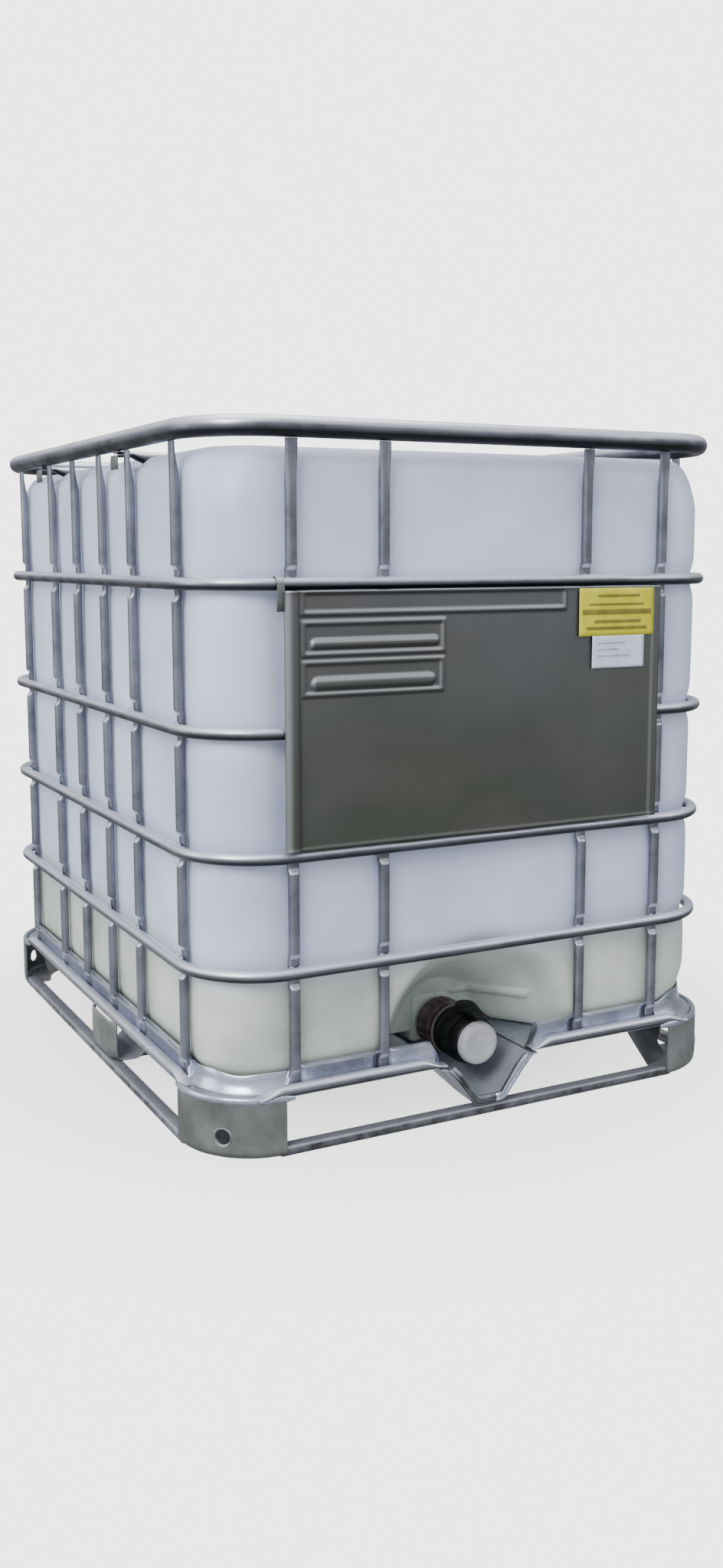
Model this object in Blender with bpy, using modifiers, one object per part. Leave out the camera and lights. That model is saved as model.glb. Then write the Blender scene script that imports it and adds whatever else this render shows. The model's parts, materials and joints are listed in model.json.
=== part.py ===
"""Intermediate bulk container: a blow-moulded bottle in a tube cage on a pressed steel base.

Metres, +Z up.  The origin is on the floor at the middle of the base.  The outlet valve faces
-Y and the longer side of the base runs along Y.
"""
import math

import bmesh
import bpy
from mathutils import Matrix, Vector

# ---- overall sizes -------------------------------------------------------------------
WIDTH = 1.000
LENGTH = 1.200
HEIGHT = 1.120
GAP = 0.0003                    # clearance between pieces that touch

# ---- cage ----------------------------------------------------------------------------
CAGE_INSET = 0.0025             # cage outer face behind the feet
RING_RADIUS = 0.0095
RAIL_RADIUS = 0.016
CORNER_RADIUS = 0.142           # outer corner of the rings
RING_HEIGHTS = (0.285, 0.466, 0.655, 0.876)
BAR_WIDTH = 0.018
BAR_DEPTH = 0.015
BAR_INSET = 0.0115              # bar centre behind the ring centre
NOTCH_HALF = 0.028              # half height of the dent a ring lies in
BAR_CORNER_STEP = 0.013         # outermost bar from the start of the corner bend
FRONT_BAR_INNER = 0.189
SIDE_BAR_INNER = 0.080
SIDE_BAR_STEP = 0.423           # middle side bar, as a step from the inner to the outer one
CROSSBAR_RADIUS = 0.010
CROSSBAR_SHIFT = 0.032          # crossbars stand behind the bars beside them
CROSSBAR_TAB = (0.034, 0.024, 0.004)

# ---- base ----------------------------------------------------------------------------
TRAY_TOP = 0.092
SHEET = 0.002
TRAY_WALL_TOP = 0.135
FOOT_RADIUS = 0.130
FOOT_SHEET = 0.003
FOOT_TREAD = 0.055              # width of a foot's flat bottom
FOOT_WEB_REACH = 0.215          # how far a foot's sloped web reaches in from the corner
FOOT_HOLE_RADIUS = 0.0135
FOOT_HOLE_HEIGHT = 0.036
SIDE_FOOT_LENGTH = 0.130
SIDE_FOOT_Y = -0.055
SIDE_WEB_REACH = 0.130
RUNNER_WIDTH = 0.036
RUNNER_HEIGHT = 0.016
RUNNER_END_GAP = 0.0015
TUBE_END_SIDE = 0.115           # base tube end from the base corner, along the long side
TUBE_END_FRONT = 0.085

# ---- valve chute ---------------------------------------------------------------------
CHUTE_TOP_HALF = 0.082
CHUTE_BOTTOM_HALF = 0.026
CHUTE_FLANGE = 0.012
CHUTE_DEPTH = 0.330             # length of the opening in the tray
CHUTE_BEND = 0.270              # where its floor turns up, from the front
CHUTE_BEND_HEIGHT = 0.050

# ---- bottle --------------------------------------------------------------------------
BOTTLE_CLEARANCE = 0.002
BOTTLE_WALL = 0.003
BOTTLE_CORNER = 0.105
BOTTLE_EDGE = 0.055             # rounding of the bottom and top edges
BOTTLE_TOP_DROP = 0.045         # bottle top below the top of the rail
PAN_RADIUS = 0.125
PAN_DEPTH = 0.028
NECK_RADIUS = 0.075
NECK_HEIGHT = 0.037
GROOVE_HALF = 0.020
GROOVE_CLEARANCE = 0.004
NICHE_BACK = 0.185              # valve recess depth from the front of the base
NICHE_FRONT_RADIUS = 0.205
NICHE_BACK_RADIUS = 0.075
SUMP_HALF = 0.050
SUMP_BOTTOM = 0.070
SUMP_BACK = 0.290

# ---- valve, all along one axis that points out of the front ---------------------------
VALVE_HEIGHT = 0.108
OUTLET_RADIUS = 0.032
OUTLET_WALL = 0.0035
OUTLET_LENGTH = 0.037
NUT_RADIUS = 0.0445
NUT_LENGTH = 0.038
FLANGE_RADIUS = 0.038
FLANGE_THICKNESS = 0.006
BARREL_RADIUS = 0.0325
COLLAR_RADIUS = 0.0435
BORE_RADIUS = 0.025
SPOUT_RADIUS = 0.028
SPOUT_LENGTH = 0.025
BODY_LENGTH = 0.076             # from the bottle mouth to the root of the spout
STEM_OFFSET = 0.062             # stem axis from the bottle mouth
STEM_RADIUS = 0.005
BOSS_RADIUS = 0.012
BOSS_TOP = 0.044                # above the valve axis
DISC_THICKNESS = 0.004
DISC_CLEARANCE = 0.0006
HUB_RADIUS = 0.0175
HUB_HEIGHT = 0.014
LEVER_LENGTH = 0.067
LEVER_WIDTH = 0.018
LEVER_THICKNESS = 0.006
CAP_RADIUS = 0.0395
CAP_LENGTH = 0.0355
CAP_FRONT = 0.004
FIT = 0.0005                    # radial clearance of a screwed or turning fit

# ---- filling lid ---------------------------------------------------------------------
LID_RADIUS = 0.0925
LID_FIT = 0.0012                # radial clearance of the lid round the neck
LID_SKIRT = 0.030
LID_TOP_THICKNESS = 0.010
LID_HOLE_RADIUS = 0.030
LID_COLLAR_RADIUS = 0.036
LID_COLLAR_DROP = 0.010
GASKET_THICKNESS = 0.0034
GASKET_WIDTH = 0.008
PLUG_HEAD_RADIUS = 0.040
PLUG_HEAD_HEIGHT = 0.009
PLUG_REACH = 0.022
PLUG_SEAL_THICKNESS = 0.0026

# ---- plates and labels ---------------------------------------------------------------
PLATE_THICKNESS = 0.001
PLATE_LEFT_PAST = 0.023         # plate edge past the left outer bar
PLATE_RIGHT_SHORT = 0.022       # plate edge short of the right outer bar
LABEL_THICKNESS = 0.0004
YELLOW_SIZE = (0.152, 0.078)
WHITE_SIZE = (0.106, 0.053)
YELLOW_EDGE = 0.013             # from the plate's right edge
WHITE_EDGE = 0.032
LABEL_DROP = 0.003              # below the plate's top edge

# ---- small sizes and mesh settings ---------------------------------------------------
OVERCUT = 0.010                 # how far a cutter runs past what it cuts
NECK_ROOT = 0.020               # how deep a neck starts inside the bottle
SUMP_OVERLAP = 0.040            # how far the sump block runs into the bottle
SEAL_INSET = 0.001              # seals and bores stay this far inside their seats
NUT_LIP = 0.005                 # lip of the nut behind the valve's flange
COLLAR_LENGTH = 0.024
GROOVE_WIDTH = 0.004
BOSS_ROOT = 0.003               # start of the boss outside the bore
STEM_SHORT = 0.004              # stem ends this far under the hub's top
SOCKET_START = 0.005
SOCKET_ROOF = 0.0035
HUB_TAPER = 0.92
CAP_SEAL_WIDTH = 0.010
CHUTE_BEND_FLARE = 1.3          # half width at the bend, times the bottom's
CHUTE_END_TAPER = 0.8           # half width at the back, times the top's
FOOT_WEB_SETBACK = 0.030        # web starts this far inside the wall
FOOT_HOLE_RUN = 0.020           # how far the hole's cutter reaches each way
UPRIGHT_EDGE = 0.1              # longer than this along Z is an upright edge
LEVEL_EDGE = 1e-6
MERGE = 1e-5
AXIS_MERGE = 5e-5
SHARP_ANGLE = 35                # degrees
CORNER_SEGMENTS = 5
STEM_SIDES = 16
HOLE_SIDES = 12
ARC_STEPS = 6
TUBE_SIDES = 2                  # bevel resolution, eight sides
TURN_STEPS = 24

# ---- sizes worked out from the ones above ----------------------------------------------
HALF_W = WIDTH / 2
HALF_L = LENGTH / 2
RING_W = HALF_W - CAGE_INSET - RING_RADIUS
RING_L = HALF_L - CAGE_INSET - RING_RADIUS
RAIL_W = HALF_W - CAGE_INSET - RAIL_RADIUS
RAIL_L = HALF_L - CAGE_INSET - RAIL_RADIUS
RAIL_Z = HEIGHT - RAIL_RADIUS
BAR_W = RING_W - BAR_INSET
BAR_L = RING_L - BAR_INSET
BAR_TOP = RAIL_Z - RAIL_RADIUS - GAP
BAR_BOTTOM = TRAY_TOP + GAP
BASE_TUBE_Z = TRAY_TOP + GAP + RING_RADIUS
FRONT_BAR_OUTER = HALF_W - CORNER_RADIUS - BAR_CORNER_STEP
SIDE_BAR_OUTER = HALF_L - CORNER_RADIUS - BAR_CORNER_STEP
SIDE_BAR_MIDDLE = SIDE_BAR_INNER + SIDE_BAR_STEP * (SIDE_BAR_OUTER - SIDE_BAR_INNER)
FRONT_BARS = (-FRONT_BAR_OUTER, -FRONT_BAR_INNER, FRONT_BAR_INNER, FRONT_BAR_OUTER)
SIDE_BARS = (-SIDE_BAR_OUTER, -SIDE_BAR_MIDDLE, -SIDE_BAR_INNER,
             SIDE_BAR_INNER, SIDE_BAR_MIDDLE, SIDE_BAR_OUTER)
WALL_W = BAR_W - BAR_DEPTH / 2 - GAP
WALL_L = BAR_L - BAR_DEPTH / 2 - GAP
BOTTLE_W = WALL_W - SHEET - BOTTLE_CLEARANCE
BOTTLE_L = WALL_L - SHEET - BOTTLE_CLEARANCE
BOTTLE_TOP = HEIGHT - BOTTLE_TOP_DROP
CROSSBAR_Z = RAIL_Z - RAIL_RADIUS - GAP - CROSSBAR_RADIUS
PAN_Z = BOTTLE_TOP - PAN_DEPTH
NECK_TOP = PAN_Z + NECK_HEIGHT
NICHE_Y = -HALF_L + NICHE_BACK
MOUTH_Y = NICHE_Y - OUTLET_LENGTH
SPOUT_ROOT_Y = MOUTH_Y - BODY_LENGTH
STEM_Y = MOUTH_Y - STEM_OFFSET
LID_UNDERSIDE = NECK_TOP + GASKET_THICKNESS + 2 * GAP
LID_TOP = LID_UNDERSIDE + LID_TOP_THICKNESS


# ---- scene helpers -------------------------------------------------------------------
def clear_scene():
    """Remove every object so that the model starts from nothing."""
    for item in list(bpy.data.objects):
        bpy.data.objects.remove(item, do_unlink=True)


def collection(name):
    """Make a collection under the scene's own."""
    group = bpy.data.collections.new(name)
    bpy.context.scene.collection.children.link(group)
    return group


def material(name, colour, roughness, metallic):
    """Make a Principled material."""
    made = bpy.data.materials.new(name)
    made.use_nodes = True
    shader = made.node_tree.nodes["Principled BSDF"]
    shader.inputs["Base Color"].default_value = (*colour, 1.0)
    shader.inputs["Roughness"].default_value = roughness
    shader.inputs["Metallic"].default_value = metallic
    return made


def place(name, data, finish, group):
    """Link data as a named object with one material."""
    item = bpy.data.objects.new(name, data)
    if not data.materials:
        data.materials.append(finish)
    group.objects.link(item)
    return item


def mesh_from(bm, name, smooth=False):
    """Turn a bmesh into mesh data."""
    mesh = bpy.data.meshes.new(name)
    bm.to_mesh(mesh)
    bm.free()
    if smooth:
        mesh.shade_smooth()
        mesh.set_sharp_from_angle(angle=math.radians(SHARP_ANGLE))
    return mesh


def box_mesh(name, low, high):
    """A cube primitive stretched between two corners."""
    size = Vector(high) - Vector(low)
    centre = (Vector(high) + Vector(low)) / 2
    bm = bmesh.new()
    bmesh.ops.create_cube(bm, size=1.0, matrix=Matrix.Translation(centre) @ Matrix.Diagonal((*size, 1.0)))
    return mesh_from(bm, name)


def cone_mesh(name, centre, axis, radius_low, radius_high, length, segments=TURN_STEPS):
    """A closed cylinder or frustum whose length runs along an axis vector from its low end."""
    turn = Vector((0, 0, 1)).rotation_difference(Vector(axis)).to_matrix().to_4x4()
    middle = Vector(centre) + Vector(axis) * length / 2
    bm = bmesh.new()
    bmesh.ops.create_cone(bm, cap_ends=True, segments=segments, radius1=radius_low,
                          radius2=radius_high, depth=length, matrix=Matrix.Translation(middle) @ turn)
    return mesh_from(bm, name)


def cutter(name, mesh):
    """A hidden helper solid for Booleans."""
    item = place(name, mesh, PAINT["cutter"], CUTTERS)
    item.hide_render = True
    item.display_type = "WIRE"
    return item


def boolean(target, tool, operation="DIFFERENCE"):
    """Cut a target with a tool, or join them."""
    step = target.modifiers.new(tool.name, "BOOLEAN")
    step.operation = operation
    step.solver = "EXACT"
    step.object = tool


def tube(name, points, radius, finish, cyclic=False, group=None):
    """A round tube along straight runs between points."""
    curve = bpy.data.curves.new(name, "CURVE")
    curve.dimensions = "3D"
    curve.bevel_depth = radius
    curve.bevel_resolution = TUBE_SIDES
    curve.use_fill_caps = not cyclic
    spline = curve.splines.new("POLY")
    spline.points.add(len(points) - 1)
    for spot, point in zip(spline.points, points):
        spot.co = (*point, 1.0)
    spline.use_cyclic_u = cyclic
    return place(name, curve, finish, group or PARTS)


def curve_to_mesh(item):
    """Turn a tube object into a welded mesh object of the same name."""
    name = item.name
    finish = item.data.materials[0]
    bpy.context.view_layer.update()
    shape = item.evaluated_get(bpy.context.evaluated_depsgraph_get())
    mesh = bpy.data.meshes.new_from_object(shape)
    place_matrix = item.matrix_world.copy()
    curve = item.data
    bpy.data.objects.remove(item, do_unlink=True)
    bpy.data.curves.remove(curve)
    bm = bmesh.new()
    bm.from_mesh(mesh)
    bmesh.ops.remove_doubles(bm, verts=bm.verts, dist=MERGE)
    bm.to_mesh(mesh)
    bm.free()
    mesh.name = name
    made = place(name, mesh, finish, PARTS)
    made.matrix_world = place_matrix
    return made


def turned(name, profile, finish, location, closed=True, forward=False, steps=TURN_STEPS):
    """Turn a profile of (radius, height) points about its own axis.

    The profile runs down its outer side.  With forward set, the axis points to -Y.
    """
    mesh = bpy.data.meshes.new(name)
    edges = [(i, i + 1) for i in range(len(profile) - 1)]
    if closed:
        edges.append((len(profile) - 1, 0))
    mesh.from_pydata([(radius, 0.0, height) for radius, height in profile], edges, [])
    item = place(name, mesh, finish, PARTS)
    screw = item.modifiers.new("turn", "SCREW")
    screw.axis = "Z"
    screw.steps = steps
    screw.render_steps = steps
    screw.use_merge_vertices = True
    screw.merge_threshold = AXIS_MERGE
    screw.use_smooth_shade = True
    item.location = location
    if forward:
        item.rotation_euler = (math.radians(90), 0, 0)
    return item


def rounded_rectangle(half_w, half_l, radius, steps=ARC_STEPS):
    """Points of a rounded rectangle in plan, anticlockwise."""
    points = []
    for quarter, (side_x, side_y) in enumerate(((1, 1), (-1, 1), (-1, -1), (1, -1))):
        centre = Vector((side_x * (half_w - radius), side_y * (half_l - radius)))
        for step in range(steps + 1):
            angle = math.radians(90 * (quarter + step / steps))
            points.append(centre + radius * Vector((math.cos(angle), math.sin(angle))))
    return points


def solidify(item, thickness, offset):
    """Give an open surface its wall."""
    wall = item.modifiers.new("wall", "SOLIDIFY")
    wall.thickness = thickness
    wall.offset = offset
    wall.use_even_offset = True


def strip_mesh(name, rows):
    """A surface lofted between rows that hold the same number of points."""
    bm = bmesh.new()
    lines = [[bm.verts.new(point) for point in row] for row in rows]
    for line, following in zip(lines, lines[1:]):
        for i in range(len(line) - 1):
            bm.faces.new((line[i], line[i + 1], following[i + 1], following[i]))
    return mesh_from(bm, name)


# ---- cage ----------------------------------------------------------------------------
def ring(name, height, half_w, half_l, radius):
    """A closed tube loop round the cage."""
    corner = CORNER_RADIUS - radius
    outline = rounded_rectangle(half_w, half_l, corner)
    return tube(name, [(p.x, p.y, height) for p in outline], radius, PAINT["galvanised tube"], cyclic=True)


def base_tubes():
    """Straight tubes on the edge of the base, broken at the corners and at the chute."""
    side_end = HALF_L - TUBE_END_SIDE
    front_end = HALF_W - TUBE_END_FRONT
    chute_edge = CHUTE_TOP_HALF + GAP
    runs = {
        "base_tube_left": ((-RING_W, -side_end), (-RING_W, side_end)),
        "base_tube_right": ((RING_W, -side_end), (RING_W, side_end)),
        "base_tube_rear": ((-front_end, RING_L), (front_end, RING_L)),
        "base_tube_front_left": ((-front_end, -RING_L), (-chute_edge, -RING_L)),
        "base_tube_front_right": ((chute_edge, -RING_L), (front_end, -RING_L)),
    }
    for name, ends in runs.items():
        tube(name, [(x, y, BASE_TUBE_Z) for x, y in ends], RING_RADIUS, PAINT["galvanised tube"])


def bar_mesh():
    """One upright of the cage, dented where the rings cross it; its outer side faces -Y."""
    rod = tube("bar_blank", [(0, 0, BAR_BOTTOM), (0, 0, BAR_TOP)], BAR_WIDTH / 2, PAINT["galvanised tube"])
    rod = curve_to_mesh(rod)
    rod.data.transform(Matrix.Diagonal((1.0, BAR_DEPTH / BAR_WIDTH, 1.0, 1.0)))
    dent_face = BAR_INSET - RING_RADIUS - GAP
    heights = (BASE_TUBE_Z,) + RING_HEIGHTS
    for number, height in enumerate(heights):
        mesh = box_mesh("dent", (-BAR_WIDTH, -BAR_DEPTH, height - NOTCH_HALF),
                        (BAR_WIDTH, -dent_face, height + NOTCH_HALF))
        boolean(rod, cutter(f"dent_cutter_{number}", mesh))
    bpy.context.view_layer.update()
    shape = rod.evaluated_get(bpy.context.evaluated_depsgraph_get())
    mesh = bpy.data.meshes.new_from_object(shape)
    mesh.name = "cage_bar"
    blank = rod.data
    bpy.data.objects.remove(rod, do_unlink=True)
    bpy.data.meshes.remove(blank)
    return mesh


def bars():
    """Every upright, one mesh shared between them."""
    mesh = bar_mesh()
    rows = (
        ("front", [(x, -BAR_L) for x in FRONT_BARS], 0),
        ("right", [(BAR_W, y) for y in SIDE_BARS], 90),
        ("rear", [(x, BAR_L) for x in FRONT_BARS], 180),
        ("left", [(-BAR_W, y) for y in SIDE_BARS], -90),
    )
    for side, spots, degrees in rows:
        for number, (x, y) in enumerate(spots, start=1):
            item = place(f"cage_bar_{side}_{number}", mesh, PAINT["galvanised tube"], PARTS)
            item.location = (x, y, 0)
            item.rotation_euler = (0, 0, math.radians(degrees))


def crossbar(name, y):
    """A tube across the top of the bottle with a flat tab under the rail at each end."""
    tab_x, tab_y, tab_z = CROSSBAR_TAB
    reach = RAIL_W - tab_x / 2
    item = tube(name, [(-reach, y, CROSSBAR_Z), (reach, y, CROSSBAR_Z)], CROSSBAR_RADIUS,
                PAINT["galvanised tube"])
    item = curve_to_mesh(item)
    top = CROSSBAR_Z + CROSSBAR_RADIUS
    for side in (-1, 1):
        centre = side * (reach + tab_x / 2 - CROSSBAR_RADIUS)
        mesh = box_mesh("tab", (centre - tab_x / 2, y - tab_y / 2, top - tab_z),
                        (centre + tab_x / 2, y + tab_y / 2, top))
        boolean(item, cutter(f"{name}_tab_{side}", mesh), "UNION")


def cage():
    """Rings, rail, uprights and crossbars."""
    for number, height in enumerate(RING_HEIGHTS, start=1):
        ring(f"cage_ring_{number}", height, RING_W, RING_L, RING_RADIUS)
    ring("top_rail", RAIL_Z, RAIL_W, RAIL_L, RAIL_RADIUS)
    base_tubes()
    bars()
    crossbar("crossbar_front", -SIDE_BAR_MIDDLE + CROSSBAR_SHIFT)
    crossbar("crossbar_rear", SIDE_BAR_MIDDLE + CROSSBAR_SHIFT)


# ---- base ----------------------------------------------------------------------------
def tray():
    """Floor sheet with a raised wall behind the bars of each side, open at the chute."""
    outline = rounded_rectangle(HALF_W - CAGE_INSET, HALF_L - CAGE_INSET, CORNER_RADIUS - CAGE_INSET)
    bm = bmesh.new()
    bm.faces.new([bm.verts.new((p.x, p.y, TRAY_TOP - SHEET)) for p in outline])
    plate = place("base_tray", mesh_from(bm, "base_tray"), PAINT["galvanised sheet"], PARTS)
    solidify(plate, SHEET, 1.0)
    end_w = FRONT_BAR_OUTER
    end_l = SIDE_BAR_OUTER
    low = TRAY_TOP - SHEET / 2
    walls = (
        ((WALL_W - SHEET, -end_l), (WALL_W, end_l)),
        ((-WALL_W, -end_l), (-WALL_W + SHEET, end_l)),
        ((-end_w, WALL_L - SHEET), (end_w, WALL_L)),
        ((-end_w, -WALL_L), (end_w, -WALL_L + SHEET)),
    )
    for number, (near, far) in enumerate(walls):
        mesh = box_mesh("wall", (*near, low), (*far, TRAY_WALL_TOP))
        boolean(plate, cutter(f"tray_wall_{number}", mesh), "UNION")
    opening = box_mesh("opening", (-CHUTE_TOP_HALF, -HALF_L - OVERCUT, 0.0),
                       (CHUTE_TOP_HALF, -HALF_L + CHUTE_DEPTH, TRAY_WALL_TOP + OVERCUT))
    boolean(plate, cutter("tray_opening", opening))


def chute():
    """Folded trough under the valve, from the tray's opening down to the front runner."""
    top = TRAY_TOP - SHEET - GAP
    floor = RUNNER_HEIGHT + GAP + SHEET
    front = -HALF_L + CAGE_INSET
    sections = (
        (front, floor, CHUTE_BOTTOM_HALF),
        (-HALF_L + CHUTE_BEND, CHUTE_BEND_HEIGHT, CHUTE_BOTTOM_HALF * CHUTE_BEND_FLARE),
        (-HALF_L + CHUTE_DEPTH, top - SHEET, CHUTE_TOP_HALF * CHUTE_END_TAPER),
    )
    rows = []
    for y, low, half in sections:
        outer = CHUTE_TOP_HALF + CHUTE_FLANGE
        rows.append([(-outer, y, top), (-CHUTE_TOP_HALF, y, top), (-half, y, low),
                     (half, y, low), (CHUTE_TOP_HALF, y, top), (outer, y, top)])
    item = place("valve_chute", strip_mesh("valve_chute", rows), PAINT["galvanised sheet"], PARTS)
    solidify(item, SHEET, -1.0)


def arc_row(radius, height, steps=ARC_STEPS):
    """A quarter circle of points about the local origin."""
    angles = [math.radians(90 * step / steps) for step in range(steps + 1)]
    return [(radius * math.cos(a), radius * math.sin(a), height) for a in angles]


def corner_foot_mesh():
    """Curved outer wall, flat tread and a sloped web up to the tray, about the corner's centre."""
    top = TRAY_TOP - SHEET - GAP
    tread = FOOT_RADIUS - FOOT_TREAD
    outer_end = FOOT_RADIUS - FOOT_SHEET
    inner_end = FOOT_RADIUS - FOOT_WEB_REACH
    start = Vector((outer_end - FOOT_WEB_SETBACK, inner_end, top - FOOT_SHEET))
    finish = Vector((inner_end, outer_end - FOOT_WEB_SETBACK, top - FOOT_SHEET))
    web = [tuple(start.lerp(finish, step / ARC_STEPS)) for step in range(ARC_STEPS + 1)]
    rows = [web, arc_row(tread, 0.0), arc_row(FOOT_RADIUS, 0.0), arc_row(FOOT_RADIUS, top)]
    return strip_mesh("corner_foot", rows)


def feet():
    """Four corner feet, one in the middle of each long side and one at the rear."""
    mesh = corner_foot_mesh()
    corners = (("rear_right", 1, 1, 0), ("rear_left", -1, 1, 90),
               ("front_left", -1, -1, 180), ("front_right", 1, -1, 270))
    for name, side_x, side_y, degrees in corners:
        item = place(f"corner_foot_{name}", mesh, PAINT["foot sheet"], PARTS)
        centre = Vector((side_x * (HALF_W - FOOT_RADIUS), side_y * (HALF_L - FOOT_RADIUS), 0))
        item.location = centre
        item.rotation_euler = (0, 0, math.radians(degrees))
        solidify(item, FOOT_SHEET, -1.0)
        outward = Vector((side_x, side_y, 0)).normalized()
        start = centre + outward * (FOOT_RADIUS - FOOT_HOLE_RUN) + Vector((0, 0, FOOT_HOLE_HEIGHT))
        hole = cone_mesh("foot_hole", start, outward, FOOT_HOLE_RADIUS, FOOT_HOLE_RADIUS,
                         2 * FOOT_HOLE_RUN, HOLE_SIDES)
        boolean(item, cutter(f"foot_hole_{name}", hole))
    side_foot("side_foot_right", (HALF_W, SIDE_FOOT_Y, 0), 0)
    side_foot("side_foot_left", (-HALF_W, SIDE_FOOT_Y, 0), 180)
    side_foot("rear_foot", (0, HALF_L, 0), 90)


def side_foot(name, spot, degrees):
    """A folded foot standing on a runner; its outer wall faces local +X."""
    top = TRAY_TOP - SHEET - GAP
    low = RUNNER_HEIGHT + GAP
    half = SIDE_FOOT_LENGTH / 2
    section = ((-SIDE_WEB_REACH, top - FOOT_SHEET), (-FOOT_TREAD, low), (0.0, low), (0.0, top))
    rows = [[(x, -half, z), (x, half, z)] for x, z in section]
    item = place(name, strip_mesh(name, rows), PAINT["foot sheet"], PARTS)
    item.location = spot
    item.rotation_euler = (0, 0, math.radians(degrees))
    solidify(item, FOOT_SHEET, -1.0)


def runners():
    """Flat bars on the floor between the feet."""
    inner_w = HALF_W - CAGE_INSET - RUNNER_WIDTH
    inner_l = HALF_L - CAGE_INSET - RUNNER_WIDTH
    end_w = HALF_W - FOOT_RADIUS - RUNNER_END_GAP
    end_l = HALF_L - FOOT_RADIUS - RUNNER_END_GAP
    spans = {
        "runner_front": ((-end_w, -inner_l - RUNNER_WIDTH), (end_w, -inner_l)),
        "runner_rear": ((-end_w, inner_l), (end_w, inner_l + RUNNER_WIDTH)),
        "runner_left": ((-inner_w - RUNNER_WIDTH, -end_l), (-inner_w, end_l)),
        "runner_right": ((inner_w, -end_l), (inner_w + RUNNER_WIDTH, end_l)),
        "runner_middle": ((-inner_w + GAP, SIDE_FOOT_Y - RUNNER_WIDTH / 2),
                          (inner_w - GAP, SIDE_FOOT_Y + RUNNER_WIDTH / 2)),
    }
    for name, (near, far) in spans.items():
        mesh = box_mesh(name, (*near, 0.0), (*far, RUNNER_HEIGHT))
        place(name, mesh, PAINT["foot sheet"], PARTS)


# ---- bottle --------------------------------------------------------------------------
def bottle_body_mesh(name, inset):
    """Rounded box of the bottle, drawn in by an inset."""
    half_w = BOTTLE_W - inset
    half_l = BOTTLE_L - inset
    low = TRAY_TOP + GAP + inset
    high = BOTTLE_TOP - inset
    size = Matrix.Diagonal((2 * half_w, 2 * half_l, high - low, 1.0))
    bm = bmesh.new()
    bmesh.ops.create_cube(bm, size=1.0, matrix=Matrix.Translation((0, 0, (low + high) / 2)) @ size)
    upright = [e for e in bm.edges if abs(e.verts[0].co.z - e.verts[1].co.z) > UPRIGHT_EDGE]
    bmesh.ops.bevel(bm, geom=upright, offset=BOTTLE_CORNER - inset, segments=CORNER_SEGMENTS, profile=0.5,
                    affect="EDGES", clamp_overlap=True)
    level = [e for e in bm.edges if abs(e.verts[0].co.z - e.verts[1].co.z) < LEVEL_EDGE]
    bmesh.ops.bevel(bm, geom=level, offset=BOTTLE_EDGE - inset, segments=3, profile=0.5,
                    affect="EDGES", clamp_overlap=True)
    return mesh_from(bm, name, smooth=True)


def shape_bottle(item, inset, overrun):
    """Add the sump, necks, valve recess, pan and grooves to a bottle body drawn in by an inset."""
    sump = box_mesh("sump", (-SUMP_HALF + inset, NICHE_Y - SUMP_OVERLAP, SUMP_BOTTOM + inset),
                    (SUMP_HALF - inset, -HALF_L + SUMP_BACK - inset, VALVE_HEIGHT + SUMP_OVERLAP))
    boolean(item, cutter(f"{item.name}_sump", sump), "UNION")
    niche = cone_mesh("niche", (0, NICHE_Y + inset, VALVE_HEIGHT), (0, -1, 0), NICHE_BACK_RADIUS + inset,
                      NICHE_FRONT_RADIUS + inset, NICHE_BACK + inset + OVERCUT)
    boolean(item, cutter(f"{item.name}_niche", niche))
    pan = cone_mesh("pan", (0, 0, PAN_Z - inset), (0, 0, 1), PAN_RADIUS + inset, PAN_RADIUS + inset,
                    PAN_DEPTH + inset + NECK_ROOT)
    boolean(item, cutter(f"{item.name}_pan", pan))
    for side in (-1, 1):
        y = side * SIDE_BAR_MIDDLE + CROSSBAR_SHIFT
        floor = CROSSBAR_Z - CROSSBAR_RADIUS - GROOVE_CLEARANCE - inset
        half = GROOVE_HALF + inset
        groove = box_mesh("groove", (-HALF_W, y - half, floor), (HALF_W, y + half, HEIGHT))
        boolean(item, cutter(f"{item.name}_groove_{side}", groove))
    neck = cone_mesh("neck", (0, 0, PAN_Z - NECK_ROOT), (0, 0, 1), NECK_RADIUS - inset, NECK_RADIUS - inset,
                     NECK_HEIGHT + NECK_ROOT + overrun)
    boolean(item, cutter(f"{item.name}_neck", neck), "UNION")
    outlet_radius = OUTLET_RADIUS - (OUTLET_WALL if overrun else 0.0)
    outlet = cone_mesh("outlet", (0, NICHE_Y + NECK_ROOT, VALVE_HEIGHT), (0, -1, 0), outlet_radius,
                       outlet_radius, OUTLET_LENGTH + NECK_ROOT + overrun)
    boolean(item, cutter(f"{item.name}_outlet", outlet), "UNION")


def bottle():
    """Hollow bottle, open at the filling neck and at the outlet."""
    inside = cutter("bottle_inside", bottle_body_mesh("bottle_inside", BOTTLE_WALL))
    shape_bottle(inside, BOTTLE_WALL, OVERCUT)
    item = place("bottle", bottle_body_mesh("bottle", 0.0), PAINT["natural plastic"], PARTS)
    shape_bottle(item, 0.0, 0.0)
    boolean(item, inside)


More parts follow.
